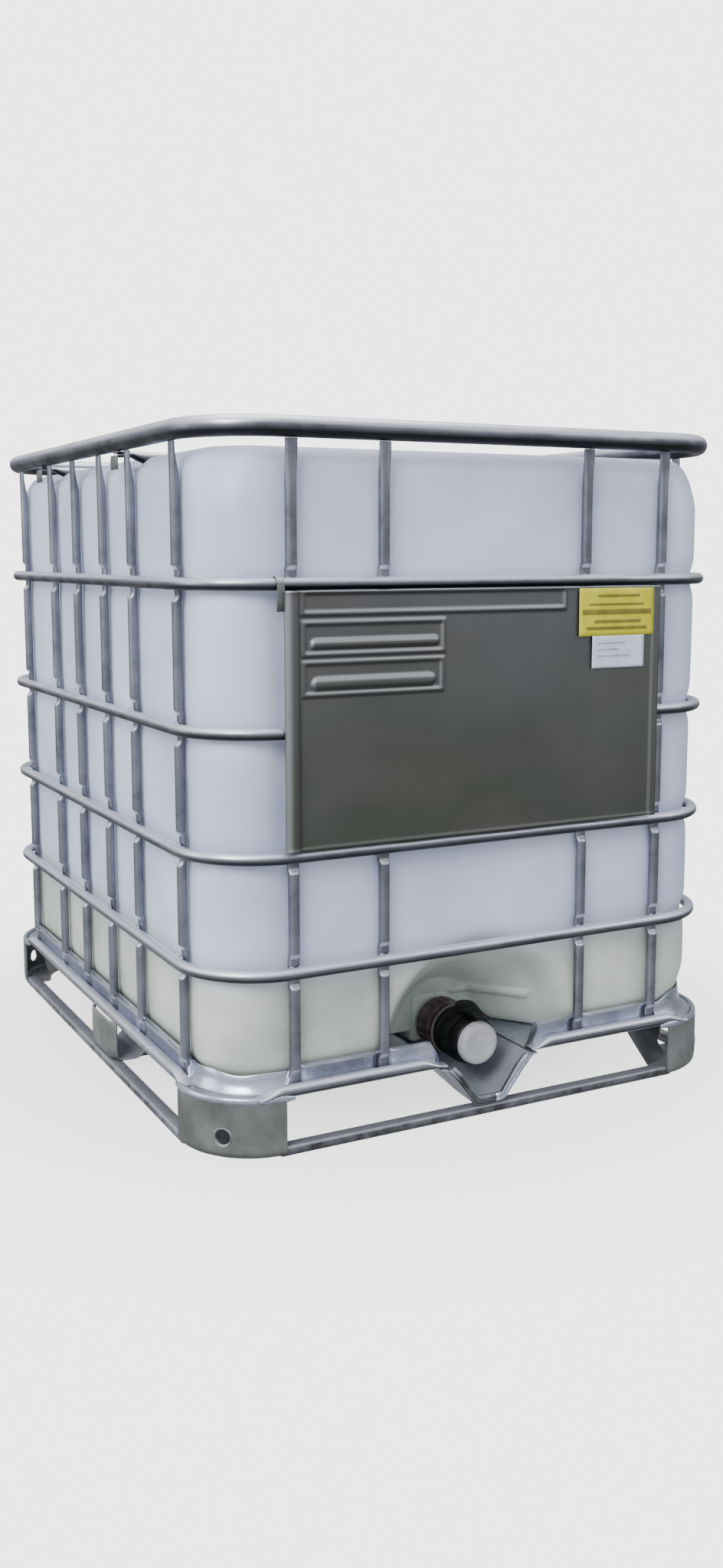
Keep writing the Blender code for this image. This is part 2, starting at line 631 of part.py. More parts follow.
# ---- filling lid ---------------------------------------------------------------------
def filling_lid():
    """Screw lid with its gasket, and the vent plug in its middle."""
    inner = NECK_RADIUS + LID_FIT
    lid = ((LID_RADIUS, LID_TOP), (LID_RADIUS, LID_TOP - LID_SKIRT - LID_TOP_THICKNESS),
           (inner, LID_TOP - LID_SKIRT - LID_TOP_THICKNESS), (inner, LID_UNDERSIDE),
           (LID_COLLAR_RADIUS, LID_UNDERSIDE), (LID_COLLAR_RADIUS, LID_UNDERSIDE - LID_COLLAR_DROP),
           (LID_HOLE_RADIUS, LID_UNDERSIDE - LID_COLLAR_DROP), (LID_HOLE_RADIUS, LID_TOP))
    turned("filling_lid", [(r, z - LID_UNDERSIDE) for r, z in lid], PAINT["lid plastic"],
           (0, 0, LID_UNDERSIDE))
    outer = NECK_RADIUS - SEAL_INSET
    low = NECK_TOP + GAP
    gasket = ((outer, GASKET_THICKNESS), (outer, 0.0), (outer - GASKET_WIDTH, 0.0),
              (outer - GASKET_WIDTH, GASKET_THICKNESS))
    turned("lid_gasket", gasket, PAINT["rubber"], (0, 0, low))
    seal_low = LID_TOP + GAP
    head_low = seal_low + PLUG_SEAL_THICKNESS + GAP
    seal = ((PLUG_HEAD_RADIUS - SEAL_INSET, PLUG_SEAL_THICKNESS), (PLUG_HEAD_RADIUS - SEAL_INSET, 0.0),
            (LID_HOLE_RADIUS + SEAL_INSET, 0.0), (LID_HOLE_RADIUS + SEAL_INSET, PLUG_SEAL_THICKNESS))
    turned("vent_plug_seal", seal, PAINT["rubber"], (0, 0, seal_low))
    shank = LID_HOLE_RADIUS - FIT
    plug = ((0.0, PLUG_HEAD_HEIGHT), (PLUG_HEAD_RADIUS, PLUG_HEAD_HEIGHT), (PLUG_HEAD_RADIUS, 0.0),
            (shank, 0.0), (shank, -PLUG_REACH), (0.0, -PLUG_REACH))
    turned("vent_plug", plug, PAINT["cap plastic"], (0, 0, head_low), closed=False)


# ---- valve ---------------------------------------------------------------------------
def valve_nut():
    """Union nut that holds the valve body's flange on the outlet."""
    mouth = OUTLET_LENGTH
    back = mouth + GAP + FLANGE_THICKNESS + GAP + NUT_LIP
    lip = back - NUT_LIP
    start = back - NUT_LENGTH
    outlet_bore = OUTLET_RADIUS + FIT
    flange_bore = FLANGE_RADIUS + FIT
    lip_bore = BARREL_RADIUS + FIT
    profile = ((NUT_RADIUS, back), (NUT_RADIUS, start), (outlet_bore, start),
               (outlet_bore, mouth - SEAL_INSET), (flange_bore, mouth - SEAL_INSET), (flange_bore, lip),
               (lip_bore, lip), (lip_bore, back))
    turned("union_nut", profile, PAINT["nut plastic"], (0, NICHE_Y, VALVE_HEIGHT), forward=True)
    return back


def valve_body(nut_end):
    """Barrel with a flange, two collars, a stem boss and the threaded spout."""
    mouth = OUTLET_LENGTH + GAP
    flange_end = mouth + FLANGE_THICKNESS
    collar = nut_end + GAP
    groove = collar + COLLAR_LENGTH
    root = OUTLET_LENGTH + BODY_LENGTH
    tip = root + SPOUT_LENGTH
    profile = ((SPOUT_RADIUS, tip), (SPOUT_RADIUS, root), (COLLAR_RADIUS, root),
               (COLLAR_RADIUS, groove + GROOVE_WIDTH), (BARREL_RADIUS, groove + GROOVE_WIDTH),
               (BARREL_RADIUS, groove),
               (COLLAR_RADIUS, groove), (COLLAR_RADIUS, collar), (BARREL_RADIUS, collar),
               (BARREL_RADIUS, flange_end), (FLANGE_RADIUS, flange_end), (FLANGE_RADIUS, mouth),
               (BORE_RADIUS, mouth), (BORE_RADIUS, tip))
    item = turned("valve_body", profile, PAINT["black plastic"], (0, NICHE_Y, VALVE_HEIGHT), forward=True)
    boss_start = BORE_RADIUS + BOSS_ROOT
    boss = cone_mesh("boss", (0, STEM_Y, VALVE_HEIGHT + boss_start), (0, 0, 1), BOSS_RADIUS, BOSS_RADIUS,
                     BOSS_TOP - boss_start, STEM_SIDES)
    boolean(item, cutter("valve_boss", boss), "UNION")
    bore = cone_mesh("stem_bore", (0, STEM_Y, VALVE_HEIGHT), (0, 0, 1), STEM_RADIUS + FIT,
                     STEM_RADIUS + FIT, BOSS_TOP + OVERCUT, STEM_SIDES)
    boolean(item, cutter("valve_stem_bore", bore))


def valve_disc():
    """Disc across the bore with its stem up through the boss."""
    radius = BORE_RADIUS - DISC_CLEARANCE
    mesh = cone_mesh("valve_disc", (0, DISC_THICKNESS / 2, 0), (0, -1, 0), radius, radius, DISC_THICKNESS)
    item = place("valve_disc", mesh, PAINT["steel"], PARTS)
    item.location = (0, STEM_Y, VALVE_HEIGHT)
    stem_top = BOSS_TOP + GAP + HUB_HEIGHT - STEM_SHORT
    stem = cone_mesh("stem", (0, STEM_Y, VALVE_HEIGHT), (0, 0, 1), STEM_RADIUS, STEM_RADIUS, stem_top,
                     STEM_SIDES)
    boolean(item, cutter("disc_stem", stem), "UNION")


def valve_handle():
    """Hub on the stem and a lever that lies forward over the outlet cap."""
    low = BOSS_TOP + GAP
    mesh = cone_mesh("valve_handle", (0, 0, low), (0, 0, 1), HUB_RADIUS, HUB_RADIUS * HUB_TAPER, HUB_HEIGHT)
    item = place("valve_handle", mesh, PAINT["black plastic"], PARTS)
    item.location = (0, STEM_Y, VALVE_HEIGHT)
    lever = box_mesh("lever", (-LEVER_WIDTH / 2, STEM_Y - LEVER_LENGTH, VALVE_HEIGHT + low),
                     (LEVER_WIDTH / 2, STEM_Y, VALVE_HEIGHT + low + LEVER_THICKNESS))
    boolean(item, cutter("handle_lever", lever), "UNION")
    socket_z = VALVE_HEIGHT + low - SOCKET_START
    socket = cone_mesh("socket", (0, STEM_Y, socket_z), (0, 0, 1), STEM_RADIUS + FIT / 2,
                       STEM_RADIUS + FIT / 2, HUB_HEIGHT + SOCKET_START - SOCKET_ROOF, STEM_SIDES)
    boolean(item, cutter("handle_socket", socket))


def outlet_cap():
    """Screw cap on the spout with its sealing ring."""
    root = OUTLET_LENGTH + BODY_LENGTH + FIT
    front = root + CAP_LENGTH
    inner = front - CAP_FRONT
    bore = SPOUT_RADIUS + FIT
    profile = ((0.0, front), (CAP_RADIUS, front), (CAP_RADIUS, root), (bore, root), (bore, inner),
               (0.0, inner))
    base_y = NICHE_Y - root
    turned("outlet_cap", [(r, z - root) for r, z in profile], PAINT["cap plastic"],
           (0, base_y, VALVE_HEIGHT), closed=False, forward=True)
    tip = OUTLET_LENGTH + BODY_LENGTH + SPOUT_LENGTH + GAP
    outer = SPOUT_RADIUS - GAP
    seal_bore = outer - CAP_SEAL_WIDTH
    seal = ((outer, inner - GAP), (outer, tip), (seal_bore, tip), (seal_bore, inner - GAP))
    turned("outlet_cap_seal", [(r, z - tip) for r, z in seal], PAINT["rubber"],
           (0, NICHE_Y - tip, VALVE_HEIGHT), forward=True)


# ---- plate and labels ----------------------------------------------------------------
def plate_and_labels():
    """Identification plate in front of the middle ring, with two blank labels."""
    left = -FRONT_BAR_OUTER - PLATE_LEFT_PAST
    right = FRONT_BAR_OUTER - PLATE_RIGHT_SHORT
    low = RING_HEIGHTS[1] + RING_RADIUS + GAP
    high = RING_HEIGHTS[3] - RING_RADIUS - GAP
    back = -RING_L - RING_RADIUS - GAP
    face = back - PLATE_THICKNESS
    place("label_plate", box_mesh("label_plate", (left, face, low), (right, back, high)),
          PAINT["plate sheet"], PARTS)
    behind = face - GAP
    front = behind - LABEL_THICKNESS
    yellow_top = high - LABEL_DROP
    white_top = yellow_top - YELLOW_SIZE[1] - GAP
    labels = (("yellow_label", YELLOW_SIZE, YELLOW_EDGE, yellow_top, "yellow label"),
              ("white_label", WHITE_SIZE, WHITE_EDGE, white_top, "white label"))
    for name, (wide, tall), edge, top, finish in labels:
        x = right - edge
        mesh = box_mesh(name, (x - wide, front, top - tall), (x, behind, top))
        place(name, mesh, PAINT[finish], PARTS)


clear_scene()
PARTS = collection("intermediate_bulk_container")
CUTTERS = collection("cutters")
PAINT = {
    "galvanised tube": material("galvanised_tube", (0.44, 0.46, 0.50), 0.42, 0.85),
    "galvanised sheet": material("galvanised_sheet", (0.50, 0.53, 0.58), 0.34, 0.90),
    "foot sheet": material("foot_sheet", (0.33, 0.35, 0.35), 0.52, 0.80),
    "plate sheet": material("plate_sheet", (0.42, 0.43, 0.43), 0.46, 0.85),
    "natural plastic": material("natural_plastic", (0.78, 0.80, 0.84), 0.38, 0.0),
    "cap plastic": material("cap_plastic", (0.72, 0.73, 0.74), 0.45, 0.0),
    "lid plastic": material("lid_plastic", (0.03, 0.03, 0.035), 0.45, 0.0),
    "nut plastic": material("nut_plastic", (0.16, 0.09, 0.10), 0.42, 0.0),
    "black plastic": material("black_plastic", (0.02, 0.02, 0.022), 0.42, 0.0),
    "rubber": material("seal_rubber", (0.05, 0.05, 0.05), 0.75, 0.0),
    "steel": material("stem_steel", (0.55, 0.56, 0.58), 0.35, 0.9),
    "yellow label": material("yellow_label", (0.80, 0.68, 0.05), 0.5, 0.0),
    "white label": material("white_label", (0.85, 0.87, 0.90), 0.5, 0.0),
    "cutter": material("cutter", (0.5, 0.5, 0.5), 0.5, 0.0),
}
cage()
tray()
chute()
feet()
runners()
bottle()
filling_lid()
valve_body(valve_nut())
valve_disc()
valve_handle()
outlet_cap()
plate_and_labels()
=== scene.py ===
"""Intermediate bulk container: finished surfaces, materials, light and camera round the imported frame.

Metres, +Z up, the outlet valve faces -Y.  Every place comes from the frame's own nodes.
"""
from __future__ import annotations

import json
import logging
import math
from dataclasses import dataclass
from enum import Enum
from typing import Callable, Iterable, Sequence

import bmesh
import bpy
from mathutils import Matrix, Vector, noise

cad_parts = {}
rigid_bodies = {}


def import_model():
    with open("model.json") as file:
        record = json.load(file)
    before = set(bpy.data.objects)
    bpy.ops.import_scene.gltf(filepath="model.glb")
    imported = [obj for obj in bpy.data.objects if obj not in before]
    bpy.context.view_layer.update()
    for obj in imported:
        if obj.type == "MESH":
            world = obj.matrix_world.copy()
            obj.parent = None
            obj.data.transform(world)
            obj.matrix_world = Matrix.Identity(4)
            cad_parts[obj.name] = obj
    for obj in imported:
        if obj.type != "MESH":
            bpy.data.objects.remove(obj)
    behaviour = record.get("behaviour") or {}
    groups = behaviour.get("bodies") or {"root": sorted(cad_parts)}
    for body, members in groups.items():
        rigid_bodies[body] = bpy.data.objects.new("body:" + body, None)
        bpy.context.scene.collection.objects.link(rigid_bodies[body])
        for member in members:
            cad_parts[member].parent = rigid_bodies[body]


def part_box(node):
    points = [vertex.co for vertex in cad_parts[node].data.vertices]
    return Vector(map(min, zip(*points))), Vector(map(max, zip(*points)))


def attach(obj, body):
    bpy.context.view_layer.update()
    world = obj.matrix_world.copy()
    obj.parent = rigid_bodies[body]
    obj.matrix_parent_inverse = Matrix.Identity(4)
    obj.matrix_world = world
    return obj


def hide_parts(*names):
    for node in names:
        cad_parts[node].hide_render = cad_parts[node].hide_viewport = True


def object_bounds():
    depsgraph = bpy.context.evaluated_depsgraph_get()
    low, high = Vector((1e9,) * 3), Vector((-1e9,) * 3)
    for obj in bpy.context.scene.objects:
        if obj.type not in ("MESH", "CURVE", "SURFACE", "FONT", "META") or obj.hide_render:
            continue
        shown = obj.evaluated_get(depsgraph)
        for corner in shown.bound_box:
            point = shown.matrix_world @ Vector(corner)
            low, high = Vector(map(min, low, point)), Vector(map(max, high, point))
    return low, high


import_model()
CAD_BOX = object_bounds()
LOG = logging.getLogger("container")
ROOT = "container"
Row = list[Vector]


class Slot(Enum):
    """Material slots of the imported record."""

    TUBE = "galvanised_tube"
    SHEET = "galvanised_sheet"
    FOOT = "foot_sheet"
    PLATE = "plate_sheet"
    BOTTLE = "natural_plastic"
    CAP = "cap_plastic"
    LID = "lid_plastic"
    NUT = "nut_plastic"
    BLACK = "black_plastic"
    RUBBER = "seal_rubber"
    STEEL = "stem_steel"
    YELLOW = "yellow_label"
    WHITE = "white_label"


class Side(Enum):
    """Sides of the container with the turn that brings a front piece there."""

    FRONT = 0
    RIGHT = 90
    REAR = 180
    LEFT = -90


CORNERS = ((-1, -1), (-1, 1), (1, -1), (1, 1))
FAR_CORNER = (1, -1)


# ---- small shape helpers ----------------------------------------------------------------
def smooth(value: float, low: float, high: float) -> float:
    """Smooth step from 0 at low to 1 at high."""
    share = min(1.0, max(0.0, (value - low) / (high - low)))
    return share * share * (3 - 2 * share)


def window(distance: float, flat: float, end: float) -> float:
    """One within flat of the middle, falling smoothly to 0 at end."""
    return 1.0 - smooth(abs(distance), flat, end)


def soft_max(first: float, second: float, width: float) -> float:
    """Larger of two numbers with a rounded change between them."""
    return (first + second + math.sqrt((first - second) ** 2 + width * width)) / 2


def oval(half_a: float, half_b: float, count: int = 20, power: float = 1.0) -> list[tuple[float, float]]:
    """Points of an oval about the origin.

    Args:
        half_a: Half size along the first axis.
        half_b: Half size along the second axis.
        count: Number of points.
        power: 1 is an ellipse, smaller is squarer.

    Returns:
        Pairs of numbers, anticlockwise.
    """
    made = []
    for step in range(count):
        angle = 2 * math.pi * step / count
        c, s = math.cos(angle), math.sin(angle)
        made.append((half_a * math.copysign(abs(c) ** power, c), half_b * math.copysign(abs(s) ** power, s)))
    return made


def rounded_outline(half_w: float, half_l: float, radius: float, steps: int) -> list[tuple[float, float]]:
    """Points of a rounded rectangle in plan, anticlockwise from the right side.

    Args:
        half_w: Half of the width in metres.
        half_l: Half of the length in metres.
        radius: Corner radius in metres.
        steps: Parts of each corner.

    Returns:
        X and Y of each point.
    """
    made = []
    for quarter, (sx, sy) in enumerate(((1, 1), (-1, 1), (-1, -1), (1, -1))):
        for step in range(steps + 1):
            a = math.radians(90 * (quarter + step / steps))
            made.append((sx * (half_w - radius) + radius * math.cos(a),
                         sy * (half_l - radius) + radius * math.sin(a)))
    return made


def link(name: str, mesh: bpy.types.Mesh) -> bpy.types.Object:
    """Put a mesh in the scene as an object at the origin.

    Args:
        name: Name of the new object.
        mesh: Mesh that the object shows.

    Returns:
        The new object.
    """
    item = bpy.data.objects.new(name, mesh)
    bpy.context.scene.collection.objects.link(item)
    return item


def loft(name: str, rows: Sequence[Sequence[Vector]], closed: bool = True, caps: bool = True,
         loop: bool = False, sharp: float = 40.0) -> bpy.types.Object:
    """Surface lofted between rows with the same number of points.

    Args:
        name: Name of the object.
        rows: Rows of points.
        closed: Each row is a closed ring.
        caps: First and last rows get a face.
        loop: The last row joins the first.
        sharp: Angle in degrees past which an edge stays sharp.

    Returns:
        The new object, faces outwards when the surface is closed.
    """
    bm = bmesh.new()
    lines = [[bm.verts.new(p) for p in row] for row in rows]
    count = len(lines[0])
    pairs = list(zip(lines, lines[1:])) + ([(lines[-1], lines[0])] if loop else [])
    for near, far in pairs:
        for i in range(count if closed else count - 1):
            j = (i + 1) % count
            bm.faces.new((near[i], near[j], far[j], far[i]))
    if closed and caps and not loop:
        bm.faces.new(lines[0][::-1])
        bm.faces.new(lines[-1])
    bmesh.ops.remove_doubles(bm, verts=bm.verts, dist=1e-6)
    bmesh.ops.dissolve_degenerate(bm, edges=bm.edges, dist=1e-7)
    bmesh.ops.recalc_face_normals(bm, faces=bm.faces)
    mesh = bpy.data.meshes.new(name)
    bm.to_mesh(mesh)
    bm.free()
    mesh.shade_smooth()
    mesh.set_sharp_from_angle(angle=math.radians(sharp))
    return link(name, mesh)


def bake(item: bpy.types.Object) -> bpy.types.Object:
    """Turn an object and its modifiers into a plain mesh of the same name.

    Args:
        item: Object to change.

    Returns:
        The same object with plain faces.
    """
    bpy.context.view_layer.update()
    mesh = bpy.data.meshes.new_from_object(item.evaluated_get(bpy.context.evaluated_depsgraph_get()))
    item.modifiers.clear()
    old = item.data
    item.data = mesh
    if old.users == 0:
        bpy.data.batch_remove([old])
    return item


def sheet(name: str, rows: Sequence[Sequence[Vector]], thickness: float, offset: float = 0.0,
          closed: bool = False, bevel: float = 0.0) -> bpy.types.Object:
    """Thin sheet with a wall, lofted between rows.

    Args:
        name: Name of the new object.
        rows: Points, row by row.
        thickness: Thickness of the sheet in metres.
        offset: -1 to 1, the side that is thickened.
        closed: Each row is a closed ring.
        bevel: Width of the edge bevel in metres, 0 for none.

    Returns:
        The new object.
    """
    item = loft(name, rows, closed=closed, caps=False)
    wall = item.modifiers.new("wall", "SOLIDIFY")
    wall.thickness = thickness
    wall.offset = offset
    wall.use_even_offset = True
    if bevel:
        edge = item.modifiers.new("edge", "BEVEL")
        edge.width = bevel
        edge.segments = 2
        edge.limit_method = "ANGLE"
        edge.angle_limit = math.radians(50)
    return bake(item)


def turned(name: str, profile: Sequence[tuple[float, float]], origin: Vector, axis: Vector,
           steps: int = 64, grip: Callable[[float, float], float] | None = None) -> bpy.types.Object:
    """Surface turned from a closed profile of (radius, height along the axis) points.

    Args:
        name: Name of the object.
        profile: Closed outline; a radius of 0 lies on the axis.
        origin: Where height 0 is.
        axis: Direction of the heights.
        steps: Number of steps round.
        grip: Extra radius from (angle, height), for ribs.

    Returns:
        The new object.
    """
    turn = Vector((0, 0, 1)).rotation_difference(axis).to_matrix()
    rows = []
    for step in range(steps):
        a = 2 * math.pi * step / steps
        row = []
        for radius, height in profile:
            r = radius + (grip(a, height) if grip and radius > 0 else 0.0)
            row.append(origin + turn @ Vector((r * math.cos(a), r * math.sin(a), height)))
        rows.append(row)
    return loft(name, rows, closed=True, caps=False, loop=True, sharp=35)


def rounded_profile(points: Sequence[tuple[float, float]], radius: float) -> list[tuple[float, float]]:
    """Closed profile with its corners off the axis cut into small arcs.

    Args:
        points: Corners of the outline, in order.
        radius: Radius of every corner in metres.

    Returns:
        The rounded outline.
    """
    made: list[tuple[float, float]] = []
    count = len(points)
    for i, point in enumerate(points):
        here, before, after = Vector(point), Vector(points[i - 1]), Vector(points[(i + 1) % count])
        if point[0] < 1e-6:
            made.append(point)
            continue
        back, ahead = (before - here), (after - here)
        cut = min(radius, back.length * 0.45, ahead.length * 0.45)
        start, end = here + back.normalized() * cut, here + ahead.normalized() * cut
        for t in (0.0, 0.25, 0.5, 0.75, 1.0):
            spot = start * (1 - t) ** 2 + here * (2 * t * (1 - t)) + end * t * t
            made.append((spot.x, spot.y))
    return made


def rounded_block(name: str, low: Vector, high: Vector, radius: float) -> bpy.types.Object:
    """Block with rounded edges between two corners.

    Args:
        name: Name of the new object.
        low: Lowest corner.
        high: Highest corner.
        radius: Edge radius in metres.

    Returns:
        The new object.
    """
    bm = bmesh.new()
    centre, size = (low + high) / 2, high - low
    bmesh.ops.create_cube(bm, size=1.0, matrix=Matrix.Translation(centre) @ Matrix.Diagonal((*size, 1.0)))
    bmesh.ops.bevel(bm, geom=list(bm.edges), offset=radius, segments=3, profile=0.5, affect="EDGES",
                    clamp_overlap=True)
    mesh = bpy.data.meshes.new(name)
    bm.to_mesh(mesh)
    bm.free()
    mesh.shade_smooth()
    mesh.set_sharp_from_angle(angle=math.radians(35))
    return link(name, mesh)


def merged(name: str, items: Sequence[bpy.types.Object]) -> bpy.types.Object:
    """Join several plain meshes into one piece.

    Args:
        name: Name of the new object.
        items: Objects to join.

    Returns:
        The joined object.
    """
    bm = bmesh.new()
    for item in items:
        bm.from_mesh(item.data)
    mesh = bpy.data.meshes.new(name)
    bm.to_mesh(mesh)
    bm.free()
    for item in items:
        bpy.data.objects.remove(item, do_unlink=True)
    mesh.set_sharp_from_angle(angle=math.radians(38))
    return link(name, mesh)


@dataclass(frozen=True)
class Extent:
    """Box of one or more frame nodes."""

    low: Vector
    high: Vector

    @classmethod
    def of(cls, *nodes: str) -> "Extent":
        """Box round the named nodes.

        Args:
            nodes: Names of the nodes.

        Returns:
            The box round all of them.
        """
        boxes = [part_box(n) for n in nodes]
        return cls(Vector([min(b[0][i] for b in boxes) for i in range(3)]),
                   Vector([max(b[1][i] for b in boxes) for i in range(3)]))

    @property
    def size(self) -> Vector:
        """Lengths of the sides."""
        return self.high - self.low

    @property
    def middle(self) -> Vector:
        """Centre of the box."""
        return (self.high + self.low) / 2


# ---- materials --------------------------------------------------------------------------
class Graph:
    """Nodes of one material on Object coordinates."""

    def __init__(self, name: str) -> None:
        """Start a material with a Principled shader.

        Args:
            name: Name of the material.
        """
        self.material = bpy.data.materials.new(name)
        self.material.use_nodes = True
        self.tree = self.material.node_tree
        self.shader = self.tree.nodes["Principled BSDF"]
        self.where = self.tree.nodes.new("ShaderNodeTexCoord").outputs["Object"]

    def add(self, kind: str, links: dict[str, bpy.types.NodeSocket] | None = None,
            **values: object) -> bpy.types.Node:
        """Add a node, set its input values by name and link its inputs.

        Args:
            kind: Node type.
            links: What feeds each input.

        Returns:
            The new node.
        """
        node = self.tree.nodes.new(kind)
        for key, value in values.items():
            node.inputs[key.replace("_", " ")].default_value = value
        for key, socket in (links or {}).items():
            self.tree.links.new(socket, node.inputs[key])
        return node

    def noise(self, scale: float, detail: float = 3.0, stretch: tuple[float, float, float] = (1, 1, 1),
              distortion: float = 0.0) -> bpy.types.NodeSocket:
        """Noise value with its scale per metre, stretched along the axes.

        Args:
            scale: Waves per metre.
            detail: Number of finer layers.
            stretch: Stretch along each axis.
            distortion: Amount of swirl.

        Returns:
            Noise value, about 0 to 1.
        """
        spot = self.add("ShaderNodeMapping", {"Vector": self.where}, Scale=stretch)
        node = self.add("ShaderNodeTexNoise", {"Vector": spot.outputs[0]}, Scale=scale, Detail=detail,
                        Distortion=distortion)
        return node.outputs["Fac"]

    def cells(self, scale: float) -> bpy.types.NodeSocket:
        """Random value for each cell of a crystal pattern.

        Args:
            scale: Cells per metre.

        Returns:
            Random value of the cell, 0 to 1.
        """
        node = self.add("ShaderNodeTexVoronoi", {"Vector": self.where}, Scale=scale)
        split = self.add("ShaderNodeSeparateColor", {"Color": node.outputs["Color"]})
        return split.outputs[0]

    def height(self) -> bpy.types.NodeSocket:
        """Height above the floor."""
        return self.add("ShaderNodeSeparateXYZ", {"Vector": self.where}).outputs["Z"]

    def spread(self, value: bpy.types.NodeSocket, low: float, high: float, start: float = 0.0,
               end: float = 1.0) -> bpy.types.NodeSocket:
        """Map a value from low..high to start..end, clamped.

        Args:
            value: Input value.
            low: Lower limit.
            high: Upper limit.
            start: Result at low.
            end: Result at high.

        Returns:
            The mapped value.
        """
        node = self.add("ShaderNodeMapRange", {"Value": value}, From_Min=low, From_Max=high, To_Min=start,
                        To_Max=end)
        return node.outputs[0]

    def facing(self, low: float, high: float, start: float, end: float,
               axis: str = "Z") -> bpy.types.NodeSocket:
        """Map how far the surface faces along an axis, from low..high to start..end.

        Args:
            low: Lower limit.
            high: Upper limit.
            start: Result at low.
            end: Result at high.
            axis: X, Y or Z.

        Returns:
            The mapped value.
        """
        normal = self.tree.nodes.new("ShaderNodeNewGeometry").outputs["Normal"]
        share = self.add("ShaderNodeSeparateXYZ", {"Vector": normal}).outputs[axis]
        return self.spread(share, low, high, start, end)

    def blend(self, share: bpy.types.NodeSocket, first: object, second: object,
              mode: str = "MIX") -> bpy.types.NodeSocket:
        """Colour between two colours or sockets.

        Args:
            share: 0 for the first colour, 1 for the second.
            first: Shown at 0.
            second: Shown at 1.
            mode: How the two colours mix.

        Returns:
            The resulting colour.
        """
        node = self.tree.nodes.new("ShaderNodeMix")
        node.data_type = "RGBA"
        node.blend_type = mode
        self.tree.links.new(share, node.inputs[0])
        for index, value in ((6, first), (7, second)):
            if isinstance(value, bpy.types.NodeSocket):
                self.tree.links.new(value, node.inputs[index])
            else:
                node.inputs[index].default_value = (*value, 1.0)
        return node.outputs[2]

    def finish(self, colour: bpy.types.NodeSocket, rough: bpy.types.NodeSocket | float, metal: float = 0.0,
               bump: bpy.types.NodeSocket | None = None, depth: float = 0.0005,
               **fixed: float) -> bpy.types.Material:
        """Wire the shader.

        Args:
            colour: Base colour.
            rough: Roughness value or socket.
            metal: Metallic share.
            bump: Height for the bump.
            depth: Depth of the bump in metres.
            fixed: Other shader inputs, by name.

        Returns:
            The material.
        """
        put = self.tree.links.new
        put(colour, self.shader.inputs["Base Color"])
        if isinstance(rough, float):
            self.shader.inputs["Roughness"].default_value = rough
        else:
            put(rough, self.shader.inputs["Roughness"])
        self.shader.inputs["Metallic"].default_value = metal
        if bump is not None:
            node = self.add("ShaderNodeBump", {"Height": bump}, Strength=0.7, Distance=depth)
            put(node.outputs[0], self.shader.inputs["Normal"])
        for key, value in fixed.items():
            self.shader.inputs[key.replace("_", " ")].default_value = value
        return self.material


@dataclass(frozen=True)
class Galvanised:
    """Zinc-coated steel: crystal patches, cloudy tone and roughness, a few stains, painted shade on faces
    turned down, and painted highlights on faces turned up and, where asked, turned down.
    """

    name: str
    dark: tuple[float, float, float]
    light: tuple[float, float, float]
    rough: tuple[float, float] = (0.30, 0.50)
    metal: float = 0.85
    crystal: float = 70.0
    crystal_share: float = 0.35
    stain: tuple[float, float, float] = (0.20, 0.21, 0.20)
    stain_share: float = 0.35
    grain: tuple[float, float, float] = (1, 1, 1)
    # Shares of painted light by facing: near-black painted shade on faces turned down, a pale painted
    # highlight on faces turned up, and a pale painted highlight on faces turned down.
    painted_shade_below: float = 0.62
    painted_highlight_above: float = 0.35
    painted_highlight_below: float = 0.0

    def build(self) -> bpy.types.Material:
        """Make the material.

        Returns:
            The material.
        """
        g = Graph(self.name)
        cloud = g.spread(g.noise(14, 4, self.grain), 0.35, 0.65)
        base = g.blend(cloud, self.dark, self.light)
        patch = g.spread(g.cells(self.crystal), 0.0, 1.0, 0.0, self.crystal_share)
        base = g.blend(patch, base, self.light)
        worn = g.spread(g.noise(5, 6, distortion=0.6), 0.56, 0.72, 0.0, self.stain_share)
        base = g.blend(worn, base, self.stain)
        # Painted shade: faces turned down are darkened towards near-black.
        base = g.blend(g.facing(-0.45, 0.10, self.painted_shade_below, 0.0), base, (0.014, 0.015, 0.019))
        # Painted highlight: faces turned up are lightened towards pale blue-white.
        base = g.blend(g.facing(0.12, 0.60, 0.0, self.painted_highlight_above), base, (0.80, 0.82, 0.92))
        # Painted highlight on faces turned down, for the dents of the uprights.
        if self.painted_highlight_below:
            base = g.blend(g.facing(-0.60, -0.20, self.painted_highlight_below, 0.0), base, (0.80, 0.82, 0.92))
        fine = g.noise(260, 2, self.grain)
        rough = g.spread(cloud, 0.0, 1.0, self.rough[1], self.rough[0])
        return g.finish(base, rough, self.metal, fine, 0.0002)


